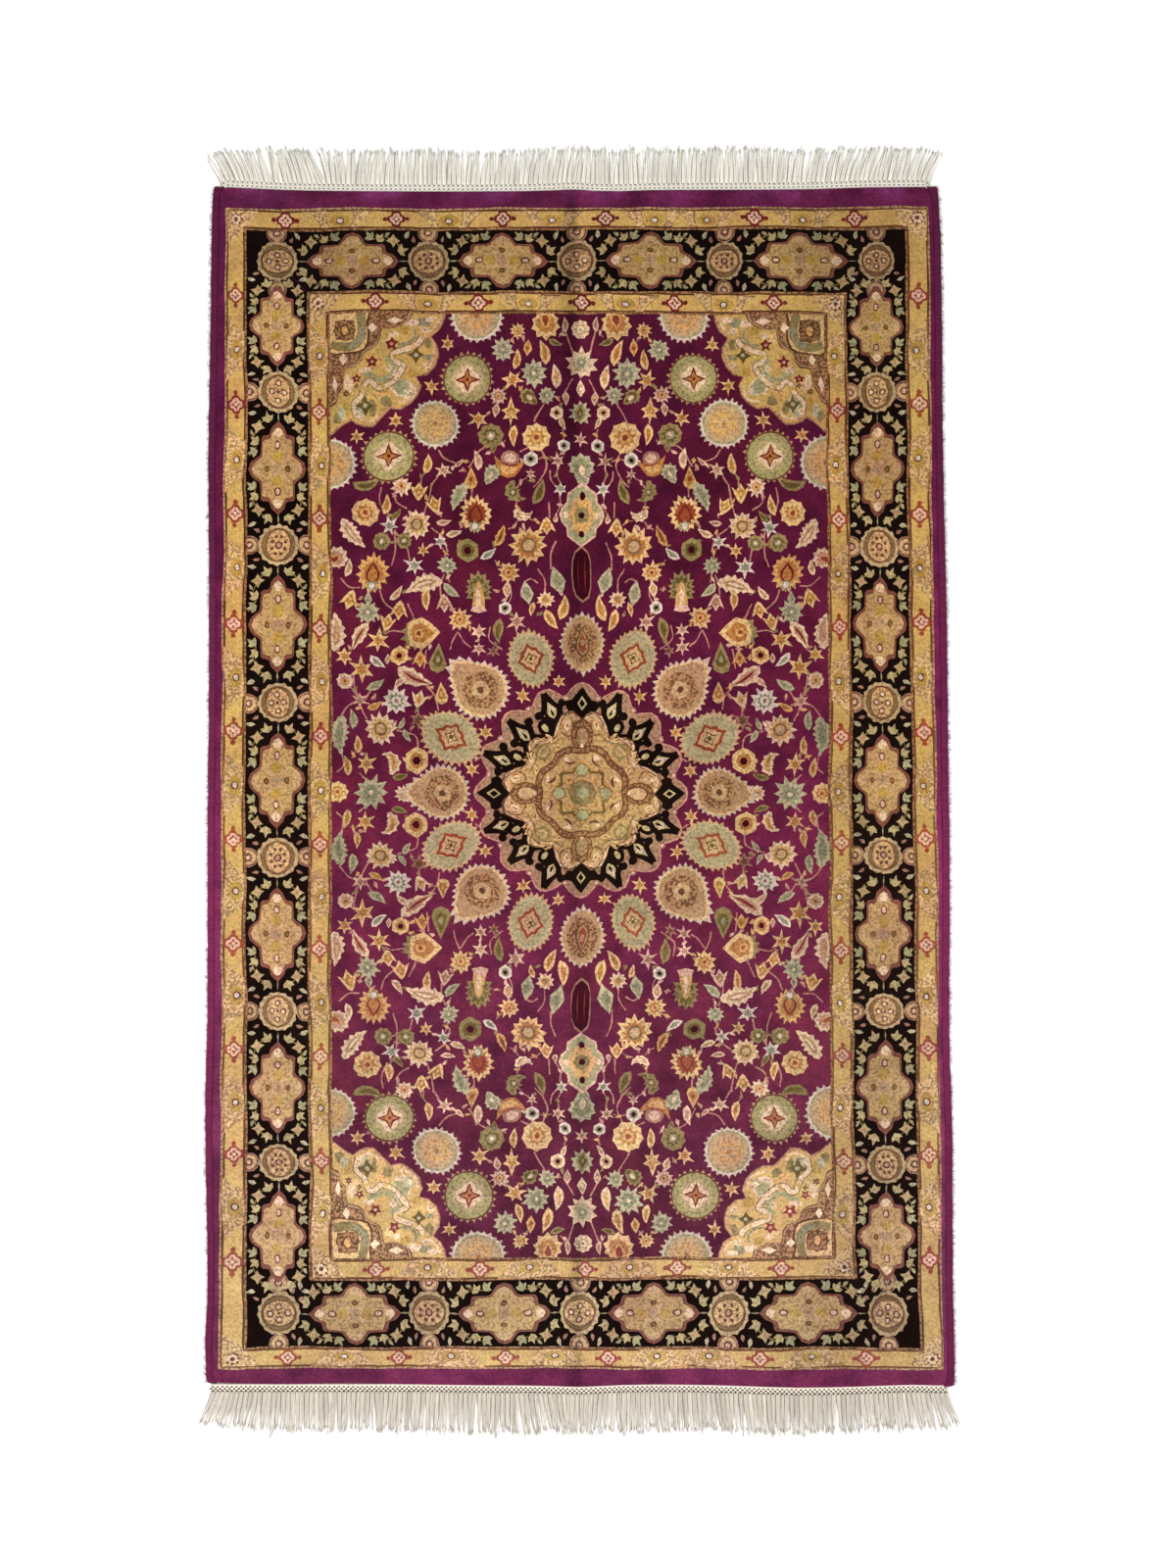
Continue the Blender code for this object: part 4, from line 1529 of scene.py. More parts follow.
def guard_oval(filled):
    """A ringed oval between two slanting sprays, which are joined at three sides of the rug."""
    motif = []
    if filled:
        motif.append((outline_of(SPRAY_HEART), "spray"))
    for side in (-1, 1):
        outline = stretched(outline_of(SPRAY), side, 1)
        middle = outline.mean()
        motif.append((outline, "amber" if filled else "brown"))
        motif.append((middle + (outline - middle) * 0.9, "spray"))
    return motif + [
        (oval(10.6, 6, 10) - 1.2j, "ochre"),
        (oval(4.4, 3.5, 8) - 1.5j, "brown"),
        (oval(3, 2.3, 6) - 1.5j, "white"),
    ]


def guard_corner(side, up):
    """A stippled corner with a ringed flower."""
    tile = stretched(outline_of(CORNER_SPRAY), side, up)
    return [
        (tile, "spray"),
        (spiked(8, 7.4, 5.4), "brown"),
        (spiked(7, 6, 4.4), "cream"),
        (oval(2.4, count=6), "brown"),
    ]


def draw_guards(design):
    """The two gold guards: double lines on each side, flowers and ovals in turn."""
    side_flowers = [FIRST_SIDE_FLOWER - SIDE_PITCH * k for k in range(10)]
    side_ovals = [FIRST_SIDE_FLOWER - SIDE_PITCH * (k + 0.5) for k in range(9)]
    outer_flowers = [place + OUTER_SHIFT for place in side_flowers]
    outer_ovals = [place + OUTER_SHIFT for place in side_ovals]
    outer_away = INNER_GUARD + BORDER + OUTER_GUARD / 2
    guards = (
        (INNER_GUARD / 2, INNER_END_FLOWERS, INNER_END_OVALS, side_flowers[1:-1], side_ovals),
        (outer_away, OUTER_END_FLOWERS, OUTER_END_OVALS, outer_flowers, outer_ovals),
    )
    for away, end_flowers, end_ovals, flowers, ovals in guards:
        wide, long = FIELD_WIDE + away, FIELD_LONG + away
        for outward in (-1, 1):
            edging = outward > 0 and away > BORDER
            step = LINE_FROM_MIDDLE * outward
            double_line(design, wide + step, long + step, outward, "brocade" if edging else "filigree")
        for side in (-1, 1):
            for place in end_flowers:
                design.lay(guard_flower("maroon" if side > 0 else "rust"), place, side * long, 0)
            for place in end_ovals:
                design.lay(guard_oval(side < 0), place, side * long, 0 if side > 0 else 180)
            for place in flowers:
                design.lay(guard_flower("rust"), side * wide, place, 90)
            for place in ovals:
                design.lay(guard_oval(True), side * wide, place, 90 * side)
            for up in (-1, 1):
                design.lay(guard_corner(side, up), side * wide, up * long, loose=False)


# Tone of the medallion
MEDALLION_TONE = 0.95


def make_design():
    design = Design()
    wide, long = FIELD_WIDE, FIELD_LONG
    under_guard = INNER_GUARD / 2
    sides = box_sides(wide + under_guard, long + under_guard)
    design.add(np.concatenate([long_edge(first, last)[:-1] for first, last in sides]), "ground")
    design.tone = FIELD_TONE
    draw_field(design)
    design.tone = MEDALLION_TONE
    draw_medallion(design)
    draw_corner_pieces(design)
    edges = [(wide, long)]
    for width in (INNER_GUARD, BORDER, OUTER_GUARD):
        edges.append((edges[-1][0] + width, edges[-1][1] + width))
    design.tone = 1.0
    frame_band(design, edges[1], edges[2], "black")
    draw_border(design)
    design.tone = 1.0
    frame_band(design, edges[0], edges[1], "guard")
    frame_band(design, edges[2], edges[3], "guard")
    draw_guards(design)
    return design.parts


# From the pattern to the rug

def place(outline):
    """Where knots of the pattern lie on the rug, in metres."""
    rows = np.array(ROW_PLACES)
    columns = np.array(COLUMN_PLACES)
    y = np.interp(outline.imag, rows[:, 0], rows[:, 1])
    share = (outline.imag / FIELD_LONG + 1) / 2
    top = np.interp(outline.real, columns[:, 0], columns[:, 1])
    bottom = np.interp(outline.real, columns[:, 0], columns[:, 2])
    x = bottom + (top - bottom) * share
    moved = [x.copy(), y.copy()]
    for wavelength, way, size, phase, axis in WANDER:
        along = x * math.cos(math.radians(way)) + y * math.sin(math.radians(way))
        moved[axis] += size * np.sin(2 * math.pi * along / wavelength + phase)
    return moved[0] * MM + SHIFT.x, moved[1] * MM + SHIFT.y


def smooth_value(rows, at, column=1):
    """Reads a column of a table at places, on a smooth curve through its rows (all in mm)."""
    places = np.array([row[0] for row in rows], float)
    values = np.array([row[column] for row in rows], float)
    slopes = np.gradient(values, places)
    at = np.clip(at, places[0], places[-1])
    k = np.clip(np.searchsorted(places, at, side="right") - 1, 0, len(rows) - 2)
    step = places[k + 1] - places[k]
    t = (at - places[k]) / step
    rise = t * t * (3 - 2 * t)
    return (
        values[k] * (1 - rise)
        + values[k + 1] * rise
        + slopes[k] * step * t * (1 - t) ** 2
        - slopes[k + 1] * step * t * t * (1 - t)
    )


def straight_value(rows, at):
    """Reads a table at places, on straight lines between its rows."""
    return np.interp(at, [row[0] for row in rows], [row[1] for row in rows])


def pile_height(x, y):
    """Height of the pile: its thickness, the crease and a slight swell."""
    x, y = x - SHIFT.x, y - SHIFT.y
    crease = smooth_value(CREASE_PROFILE, (x - CREASE_AT) / MM) * MM
    swell = np.sin(SWELL_WAVES * math.pi * x / NOMINAL_HALF_WIDTH + SWELL_PHASE)
    swell = swell * np.sin(SWELL_WAVES * math.pi * y / NOMINAL_HALF_LENGTH)
    return RUG_THICKNESS + crease + SWELL_HEIGHT * swell


OUTLINE_STEP = 9 * MM


def rug_outline():
    """The outline of the frame's slab, resampled evenly, anticlockwise."""
    points = {
        (round(v.co.x, 5), round(v.co.y, 5))
        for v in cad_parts["rug"].data.vertices
        if abs(v.co.z - WALL_HEIGHT) < 0.5 * MM
    }
    points = sorted(points, key=lambda p: math.atan2(p[1], p[0]))
    outline = []
    for (x0, y0), (x1, y1) in zip(points, points[1:] + points[:1]):
        count = max(1, round(math.dist((x0, y0), (x1, y1)) / OUTLINE_STEP))
        outline += [complex(x0 + (x1 - x0) * (k / count), y0 + (y1 - y0) * (k / count)) for k in range(count)]
    return np.array(outline)


def drawn_in(outline, inset):
    """An outline moved inwards."""
    ways = np.roll(outline, -1) - np.roll(outline, 1)
    return outline + 1j * ways / np.abs(ways) * inset


def winding(outline, x, y):
    """How many times an outline goes round each of these places."""
    turns = np.zeros(len(x), int)
    for first, last in zip(outline, np.roll(outline, -1)):
        left = (last.real - first.real) * (y - first.imag) - (x - first.real) * (last.imag - first.imag)
        turns += (first.imag <= y) & (last.imag > y) & (left > 0)
        turns -= (first.imag > y) & (last.imag <= y) & (left < 0)
    return turns


# How far the pattern keeps from the sides of the pile's top, and a grid between the outlines from its edge
PATTERN_MARGIN = 1.5 * MM
GRID_MARGIN = 6 * MM
GRID_STEP = 30 * MM
CUT_TOLERANCE = 1e-6


def laid_outlines(edge, parts):
    """The edge and the outlines of the pattern as places on the rug, and their colours."""
    ordered = edge[np.argsort(edge.imag)]
    left = ordered[ordered.real < edge.real.min() + SIDE_STRIP]
    right = ordered[ordered.real > edge.real.max() - SIDE_STRIP]
    outlines, colours = [edge], [yarn_colour("edging")]
    for outline, colour in parts:
        jitter = np.array([complex(chance.gauss(0, JITTER), chance.gauss(0, JITTER)) for _ in outline])
        x, y = place(outline + jitter)
        least = np.interp(y, left.imag, left.real) + PATTERN_MARGIN
        most = np.interp(y, right.imag, right.real) - PATTERN_MARGIN
        outlines.append(np.clip(x, least, most) + 1j * y)
        colours.append(colour)
    return outlines, colours


def grid_inside(edge):
    """Points of an even grid inside an edge."""
    across = np.arange(edge.real.min() + GRID_MARGIN, edge.real.max() - GRID_MARGIN, GRID_STEP)
    along = np.arange(edge.imag.min() + GRID_MARGIN, edge.imag.max() - GRID_MARGIN, GRID_STEP)
    grid = (across[:, None] + 1j * along[None, :]).ravel()
    return grid[winding(drawn_in(edge, GRID_MARGIN), grid.real, grid.imag) != 0]


def owners(middles, outlines):
    """The faces in order along the rug, and for each the last outline that goes round it, or -1."""
    order = np.argsort(middles[:, 1])
    x, y = middles[order, 0], middles[order, 1]
    owner = np.full(len(middles), -1)
    for number, outline in enumerate(outlines):
        low, high = np.searchsorted(y, (outline.imag.min(), outline.imag.max()))
        beside = (x[low:high] >= outline.real.min()) & (x[low:high] <= outline.real.max())
        near = np.nonzero(beside)[0] + low
        owner[near[winding(outline, x[near], y[near]) != 0]] = number
    return order, owner


def triangulate(edge, parts):
    """Cuts the area inside an edge along the outlines of the pattern.

    Gives the points, the faces, the colour of each, and which point each point of the edge became.
    """
    outlines, colours = laid_outlines(edge, parts)
    lines = []
    first = 0
    for outline in outlines:
        count = len(outline)
        lines += [(first + k, first + (k + 1) % count) for k in range(count)]
        first += count
    points = [Vector((z.real, z.imag)) for z in np.concatenate(outlines + [grid_inside(edge)])]
    new_points, _, faces, sources, _, _ = delaunay_2d_cdt(points, lines, [], 0, CUT_TOLERANCE, True)
    became = {old: number for number, source in enumerate(sources) for old in source if old < len(edge)}
    flat = np.array([(p.x, p.y) for p in new_points])
    order, owner = owners(np.array([flat[face].mean(axis=0) for face in faces]), outlines)
    kept = np.nonzero(owner >= 0)[0]
    faces = [list(faces[order[k]]) for k in kept]
    shown = [colours[owner[k]] for k in kept]
    print("pattern:", len(parts), "outlines,", len(flat), "points,", len(faces), "faces")
    return flat, faces, shown, [became[k] for k in range(len(edge))]


def bake_layout(mesh, plan):
    """Lays the faces out flat for a baked picture, from a place for every corner."""
    layer = mesh.uv_layers.new(name="OFBake")
    low, high = plan.min(axis=0), plan.max(axis=0)
    layer.data.foreach_set("uv", ((plan - low) / (high - low)).astype(np.float32).ravel())


def link(obj):
    bpy.context.scene.collection.objects.link(obj)
    return obj


# Rings of the rim below its shoulder: inset, height, upward part of the normal, place in the flat layout
RIM = ((ROUNDING_INSET, 10.3 * MM, 1.6, 0.0), (0.0, 9.0 * MM, 0.6, 4 * MM), (0.0, 0.0, 0.0, 10 * MM))
SLOPE_STEP = 1 * MM
# The underside in the flat layout: a narrow strip, so far from the rest and with this share of its width
UNDERSIDE_GAP = 20 * MM
UNDERSIDE_SHARE = 0.01


def top_of_pile(flat):
    """Points and normals of the pile over flat places."""
    x, y = flat.T
    height = pile_height(x, y)
    rise_x = (pile_height(x + SLOPE_STEP, y) - height) / SLOPE_STEP
    rise_y = (pile_height(x, y + SLOPE_STEP) - height) / SLOPE_STEP
    return np.column_stack([flat, height]), np.column_stack([-rise_x, -rise_y, np.ones(len(flat))])


def make_rug():
    """The pile: its patterned top, rounded rim, low wall and underside, as one closed mesh."""
    outline = rug_outline()
    flat, faces, colours, edge = triangulate(drawn_in(outline, SHOULDER_INSET), make_design())
    top, top_normals = top_of_pile(flat)
    points, normals, plans, rings = [top], [top_normals], [flat], [edge]
    total = len(flat)
    ways = drawn_in(outline, -1) - outline
    for inset, level, upward, laid_out in RIM:
        ring, spread = drawn_in(outline, inset), drawn_in(outline, -laid_out)
        points.append(np.column_stack([ring.real, ring.imag, np.full(len(ring), level)]))
        normals.append(np.column_stack([ways.real, ways.imag, np.full(len(ring), upward)]))
        plans.append(np.column_stack([spread.real, spread.imag]))
        rings.append(list(range(total, total + len(ring))))
        total += len(ring)
    for upper, lower in zip(rings, rings[1:]):
        for k in range(len(upper)):
            after = (k + 1) % len(upper)
            faces.append([upper[k], lower[k], lower[after], upper[after]])
            colours.append(yarn_colour("edging"))
    faces.append(rings[-1][::-1])
    colours.append(yarn_colour("back"))

    mesh = bpy.data.meshes.new("rug_pile")
    mesh.from_pydata(np.vstack(points).tolist(), [], faces)
    values = np.repeat(np.array(colours, np.float32), [len(face) for face in faces], axis=0)
    yarn = mesh.color_attributes.new("yarn", "FLOAT_COLOR", "CORNER")
    yarn.data.foreach_set("color", values.ravel())
    mesh.shade_smooth()
    normals = np.vstack(normals)
    normals /= np.linalg.norm(normals, axis=1)[:, None]
    mesh.normals_split_custom_set_from_vertices(normals.tolist())
    laid = np.vstack(plans)[np.concatenate(faces)]
    under = len(faces[-1])
    strip = laid[-under:].copy()
    strip[:, 1] = laid[:, 1].max() + UNDERSIDE_GAP + strip[:, 1] * UNDERSIDE_SHARE
    laid[-under:] = strip
    bake_layout(mesh, laid)
    return link(bpy.data.objects.new("rug_pile", mesh))


# Cords and fringes

# Rings of a knot: share of its width, and of its height
KNOT_RINGS = ((0.75, 0.0), (1.0, 0.45), (0.6, 0.9))
KNOT_SIDES = 6
# Distance between the sides of a tube in the flat layout
UNROLLED = 0.5 * MM


class Yarns:
    """Collects thin tubes and knots into one mesh."""

    def __init__(self):
        self.points = []
        self.faces = []
        self.tones = []
        self.plans = []

    def add_point(self, at, tone, plan):
        self.points.append(at)
        self.tones.append(tone)
        self.plans.append(plan)

    def skin(self, start, rings, sides, turned=False):
        """Faces round a stack of rings of points, and over both of its ends."""
        faces = []
        for k in range(rings - 1):
            for c in range(sides):
                a = start + k * sides + c
                b = start + k * sides + (c + 1) % sides
                faces.append((a, b, b + sides, a + sides))
        faces.append(tuple(start + c for c in range(sides))[::-1])
        faces.append(tuple(start + (rings - 1) * sides + c for c in range(sides)))
        self.faces += [face[::-1] for face in faces] if turned else faces

    def tube(self, path, half_width, half_height, tone, sides=4):
        """A tube along a path of places, with a half width and a half height at each."""
        start = len(self.points)
        path = np.asarray(path)
        ways = np.gradient(path[:, :2], axis=0)
        ways /= np.maximum(np.linalg.norm(ways, axis=1), 1e-9)[:, None]
        for at, way, wide, high in zip(path, ways, half_width, half_height):
            for c in range(sides):
                angle = 2 * math.pi * (c + 0.5) / sides
                out = math.cos(angle) * wide
                unrolled = (c - sides / 2) * UNROLLED
                self.add_point(
                    (at[0] - way[1] * out, at[1] + way[0] * out, at[2] + math.sin(angle) * high),
                    tone,
                    (at[0] - way[1] * unrolled, at[1] + way[0] * unrolled),
                )
        self.skin(start, len(path), sides)

    def knot(self, at, wide, deep, high, tone):
        """A small rounded knot on the floor or on a strip, darker towards its base: painted shade."""
        start = len(self.points)
        for share, level in KNOT_RINGS:
            for c in range(KNOT_SIDES):
                angle = 2 * math.pi * (c + 0.5) / KNOT_SIDES
                x, y = at[0] + wide * share * math.cos(angle), at[1] + deep * share * math.sin(angle)
                plan = (x + (level - 0.5) * 0.3 * MM, y + (level - 0.5) * 0.2 * MM)
                # Lower rings darker: painted shade at the knot's base
                self.add_point((x, y, at[2] + high * level), tone * (0.8 + 0.2 * level), plan)
        self.skin(start, len(KNOT_RINGS), KNOT_SIDES)

    def finished(self, name):
        """The object made of all tubes and knots so far."""
        mesh = bpy.data.meshes.new(name)
        mesh.from_pydata(self.points, [], self.faces)
        tone = mesh.attributes.new("tone", "FLOAT", "POINT")
        tone.data.foreach_set("value", np.array(self.tones, np.float32))
        mesh.shade_smooth()
        bake_layout(mesh, np.array(self.plans)[np.concatenate(self.faces)])
        return link(bpy.data.objects.new(name, mesh))


# Cords: one wrap of wool, the stretch over which they swell and thin, and their loose fibres
WRAP_PITCH = 2.6 * MM
STATIONS_PER_WRAP = 3
WRAPS_PER_LUMP = 5
LUMP_ASIDE = 0.35 * MM
FIBRES = 2200
FIBRE_HALF_WIDTH = 0.16 * MM
# Height of a cord's crest in the frame, and how far its wool runs on past the ends
CREST_HEIGHT = 0.88 * RUG_THICKNESS
CORD_RUN_ON = 1.5 * MM
# How far a cord's inner side reaches under the pile, and how much further at its very ends
UNDER_PILE = 0.35 * MM
UNDER_PILE_AT_END = 6 * MM


def add_fibres(yarns, side, first, last, rows, middles):
    """Loose fibres that stand out from an edge cord."""
    for _ in range(FIBRES):
        y = chance.uniform(first, last)
        x = np.interp(y, rows, middles) + side * (CORD_WIDTH * 0.3 + CORD_SPREAD * 0.8)
        z = chance.uniform(2, 8) * MM
        length = chance.uniform(2, 7) * MM
        lean = chance.uniform(-0.8, 0.8)
        path = []
        for t in (0, 0.5, 1):
            along = y + length * (lean * t + chance.uniform(-0.15, 0.15))
            path.append((x + side * length * t, along, max(0.3 * MM, z - 2 * MM * t * t)))
        halves = (FIBRE_HALF_WIDTH, FIBRE_HALF_WIDTH, FIBRE_HALF_WIDTH * 0.5)
        # Lighter than the cord: painted highlight on the loose fibres
        yarns.tube(path, halves, halves, chance.uniform(1.0, 2.2), sides=3)


def make_selvedge(side, node):
    """An edge cord of wool wrapped round and round, with loose fibres."""
    places = [v.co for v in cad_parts[node].data.vertices]
    crest = sorted((at.y, at.x) for at in places if abs(at.z - CREST_HEIGHT) < 0.1 * MM)
    rows, middles = np.array(crest).T
    first, last = min(at.y for at in places) - CORD_RUN_ON, max(at.y for at in places) + CORD_RUN_ON
    wraps = round((last - first) / WRAP_PITCH)
    stations = wraps * STATIONS_PER_WRAP
    lumps = [chance.uniform(-1, 1) for _ in range(wraps // WRAPS_PER_LUMP + 3)]
    yarns = Yarns()
    for k in range(stations + 1):
        between_wraps = k % STATIONS_PER_WRAP == 0
        if between_wraps:
            wrap_size, wrap_tone = chance.uniform(0.98, 1.04), chance.uniform(0.88, 1.12)
        y = first + (last - first) * k / stations
        at = k / STATIONS_PER_WRAP / WRAPS_PER_LUMP
        lump = lumps[int(at)] + (lumps[int(at) + 1] - lumps[int(at)]) * (at % 1)
        middle = np.interp(y, rows, middles) + side * lump * LUMP_ASIDE
        bulge = wrap_size * (0.95 if between_wraps else 1.02) + 0.03 * lump
        from_end = min(y - first, last - y)
        ending = min(1.0, 0.6 + 0.4 * from_end / (4 * MM))
        overlap = UNDER_PILE_AT_END * max(0.0, 1 - from_end / (9 * MM))
        for out, height in CORD_SECTION:
            x = middle + side * (out - 0.55) * CORD_WIDTH * (bulge if out > 0.3 else 1.0) * ending
            x += side * (CORD_SPREAD * out - (UNDER_PILE + overlap) * (out < 0.1))
            z = height * RUG_THICKNESS * (bulge if height > 0.3 else 1.0) * ending
            slanted = y + (out - 0.5) * 1.1 * MM
            unrolled = side * (RUG_THICKNESS - z) * 0.6 * (1 if out > 0.5 else -1)
            # Darker between the wraps: painted shade in the grooves
            tone = wrap_tone * (0.86 if between_wraps else 1.05)
            yarns.add_point((x, slanted, z), tone, (x + unrolled, slanted))
    yarns.skin(0, stations + 1, len(CORD_SECTION), turned=side < 0)
    add_fibres(yarns, side, first, last, rows, middles)
    return yarns.finished("selvedge_" + ("left" if side < 0 else "right") + "_wool")


# Height of the web at some depths from the pile
WEB_STEPS = ((1.6 * MM, 4.2 * MM), (5.0 * MM, 2.2 * MM), (8.4 * MM, 0.9 * MM))
# Height of the dark dots of painted shadow in the web's openings, at some depths (mm)
SHADOW_DOT_LEVELS = ((3.2, 4.7), (4.0, 4.2), (6.4, 3.1), (8.4, 2.9), (9.4, 3.1))
# Fringes: pitch of the bundles (mm), depths of the rows of knots and of the rows of dark dots between them,
# which are painted shadow in the web's openings, how far each row of dots is moved sideways (bundles), their
# tones and half size (share of the pitch, mm), tone of the yarns (lower at the bottom end: painted shade
# against the lamp's stronger light there) and its share in the web (painted light that makes up for the
# pile's shade on the web), waviness and raggedness of the yarns, where a bundle starts to close and how far
TOP_KIND = {
    "pitch": 6.2,
    "knots": (0.8, 2.6, 5.6, 8.2),
    "shadow_dots": ((3.4, 0.5), (8.6, 0.5)),
    "dark": (0.1, 0.2),
    "dot": (0.19, 1.0),
    "tone": 0.97,
    "web": 1.13,
    "wave": 0.5,
    "ragged": 0.045,
    "tuft": (0.6, 0.32),
}
BOTTOM_KIND = {
    "pitch": 6.0,
    "knots": (0.8, 3.2, 6.1, 8.8),
    "shadow_dots": ((3.4, 0.5), (6.4, 0.0), (9.3, 0.5)),
    "dark": (0.02, 0.05),
    "dot": (0.26, 1.2),
    "tone": 0.8,
    "web": 1.42,
    "wave": 0.9,
    "ragged": 0.05,
    # Lower tone at the bottom end: painted shade against the lamp's stronger light there
    "tuft": (0.8, 0.2),
}
YARNS_EACH = 5
# The web's strips of cloth: half width and height, and how many places each has
STRIP_HALF_WIDTH = 2.4 * MM
STRIP_HALF_HEIGHT = 1.2 * MM
STRIP_PLACES = 120
# Distance between the places where tips are drawn together or apart (mm), and how far
CLUMP_STEP = 22
CLUMP_REACH = 2.0 * MM
# Distance from a gap over which its push fades
GAP_FADE = 9 * MM
# Nine places along a yarn, and its half width at each against that of its middle
STATIONS = np.linspace(0, 1, 9)
YARN_TAPER = np.array([1.25, 1.1, 1, 1, 1, 0.95, 0.85, 0.7, 0.35])
# How far a yarn starts inside the web, and its frayed ends
ROOT_INSIDE = 1.2 * MM
FRAYS = 2
FRAY_HALF_WIDTHS = [0.3 * MM, 0.26 * MM, 0.12 * MM]
FRAY_HALF_HEIGHTS = [0.24 * MM, 0.2 * MM, 0.1 * MM]


def end_edge(end):
    """Places across and along of the slab's end edge."""
    points = rug_outline()
    half = np.abs(points.real).max() - 6 * MM
    points = points[(points.imag * end > 0) & (np.abs(points.imag) > np.abs(points.imag).max() - 12 * MM)]
    points = points[np.abs(points.real) < half]
    order = np.argsort(points.real)
    return points.real[order], points.imag[order]


class Fringe:
    """The knotted web at one end of the rug, and its loose yarns."""

    def __init__(self, end, table, gaps, kind):
        self.end, self.table, self.gaps, self.kind = end, table, gaps, kind
        self.yarns = Yarns()
        self.edge_x, self.edge_y = end_edge(end)
        self.first = (table[0][0] - 2) * MM + SHIFT.x
        self.last = (table[-1][0] + 2) * MM + SHIFT.x
        self.count = round((self.last - self.first) / (kind["pitch"] * MM))
        self.pitch = (self.last - self.first) / self.count

    def web_line(self, x, depth):
        """Where this depth of the web lies along the rug."""
        return np.interp(x, self.edge_x, self.edge_y) + self.end * (PIECE_GAP + depth)

    def add_web(self):
        """Strips of cloth, rows of knots on them, and dark dots between the rows: painted shadow in the web's
        openings.
        """
        kind, pitch = self.kind, self.pitch
        # The web's tone is raised: painted light that makes up for the pile's shade on it
        web_tone = kind["tone"] * kind["web"]
        for depth, level in WEB_STEPS:
            places = np.linspace(self.first, self.last, STRIP_PLACES)
            strip = [(x, self.web_line(x, depth), level) for x in places]
            high = min(level, STRIP_HALF_HEIGHT)
            # The strips are a little darker than the knots on them: painted shade under the knots
            self.yarns.tube(strip, [STRIP_HALF_WIDTH] * STRIP_PLACES, [high] * STRIP_PLACES, web_tone * 0.94)
        for row, depth in enumerate(kind["knots"]):
            level = straight_value(WEB_STEPS, depth * MM) + 0.4 * MM
            for k in range(self.count + 1):
                x = self.first + (k + (0.5 if row % 2 == 0 else 0.0)) * pitch
                if x > self.last:
                    continue
                along = self.web_line(x, depth * MM + chance.uniform(-0.2, 0.2) * MM)
                at = (x + chance.uniform(-0.2, 0.2) * MM, along, level)
                self.yarns.knot(at, pitch * 0.26, 1.1 * MM, 1.5 * MM, web_tone * chance.uniform(1.0, 1.16))
        # Dark dots where the web is open: painted shadow
        shadow_dot_width, shadow_dot_depth = pitch * kind["dot"][0], kind["dot"][1] * MM
        for depth, moved in kind["shadow_dots"]:
            level = straight_value(SHADOW_DOT_LEVELS, depth) * MM
            for k in range(self.count):
                x = self.first + (k + moved) * pitch + chance.uniform(-0.15, 0.15) * MM
                at = (x, self.web_line(x, depth * MM), level)
                self.yarns.knot(at, shadow_dot_width, shadow_dot_depth, 0.9 * MM, chance.uniform(*kind["dark"]))

    def pushed(self, x):
        """How far the gaps push a tip aside."""
        push = 0.0
        for gap_at, gap_wide in self.gaps:
            away = x - (gap_at * MM + SHIFT.x)
            push += math.copysign(gap_wide / 2 * MM * math.exp(-abs(away) / GAP_FADE), away)
        return push

    def add_frays(self, before, tip, tone):
        """Thin ends that part from a yarn just before its tip."""
        for _ in range(FRAYS):
            length = chance.uniform(1.5, 4.5) * MM
            aside = chance.uniform(-1.6, 1.6) * MM
            end = (tip[0] + aside, tip[1] + self.end * length * 0.6, max(0.4 * MM, tip[2] - 0.5 * MM))
            path = [before, (before + end) / 2 + (aside * 0.3, 0, 0), end]
            self.yarns.tube(path, FRAY_HALF_WIDTHS, FRAY_HALF_HEIGHTS, tone * 0.72, sides=3)

    def add_yarn(self, bundle, aside, shaded, clumps):
        """One yarn of a bundle, from the web to its tip. A shaded one lies low under the others, dark with
        painted shadow between the bundles.
        """
        kind = self.kind
        closing, closed = kind["tuft"]
        tuft = 1 - closed * np.clip((STATIONS - closing) / (1 - closing), 0, 1)
        root = bundle["at"] + aside
        lean = smooth_value(self.table, (root - SHIFT.x) / MM) * MM
        length = smooth_value(self.table, (root - SHIFT.x) / MM, column=2) * MM
        length *= bundle["length"] * chance.gauss(0.97 if shaded else 1.02, kind["ragged"])
        drawn = straight_value(clumps, root / MM) * CLUMP_REACH
        own = chance.gauss(0, 0.7) * MM
        wave, phase = chance.uniform(0.3, 1.0) * kind["wave"] * MM, chance.uniform(0, 6.28)
        low = 1.0 * MM if shaded else chance.uniform(1.3, 2.4) * MM
        high = 0.9 * MM if shaded else chance.uniform(1.1, 3.0) * MM
        x = (
            bundle["at"]
            + aside * tuft
            + (lean + bundle["lean"]) * (0.68 * STATIONS + 0.32 * STATIONS ** 2)
            + (drawn + own) * STATIONS ** 1.4
            + self.pushed(root) * np.clip(STATIONS * 1.3 - 0.15, 0, 1)
            + wave * np.sin(phase + STATIONS * 9) * STATIONS
        )
        y = self.web_line(root, WEB_DEPTH - ROOT_INSIDE) + self.end * (length + ROOT_INSIDE) * STATIONS
        path = np.column_stack([x, y, low + (high - low) * STATIONS])
        halves = chance.uniform(0.56, 0.74) * MM * YARN_TAPER
        # A shaded yarn's dark tone is painted shadow between the bundles
        tone = chance.uniform(0.45, 0.7) if shaded else chance.gauss(1.04, 0.07)
        tone = kind["tone"] * bundle["tone"] * tone
        self.yarns.tube(path, halves, halves * 0.85, tone, sides=5)
        self.add_frays(path[-2], path[-1], tone)

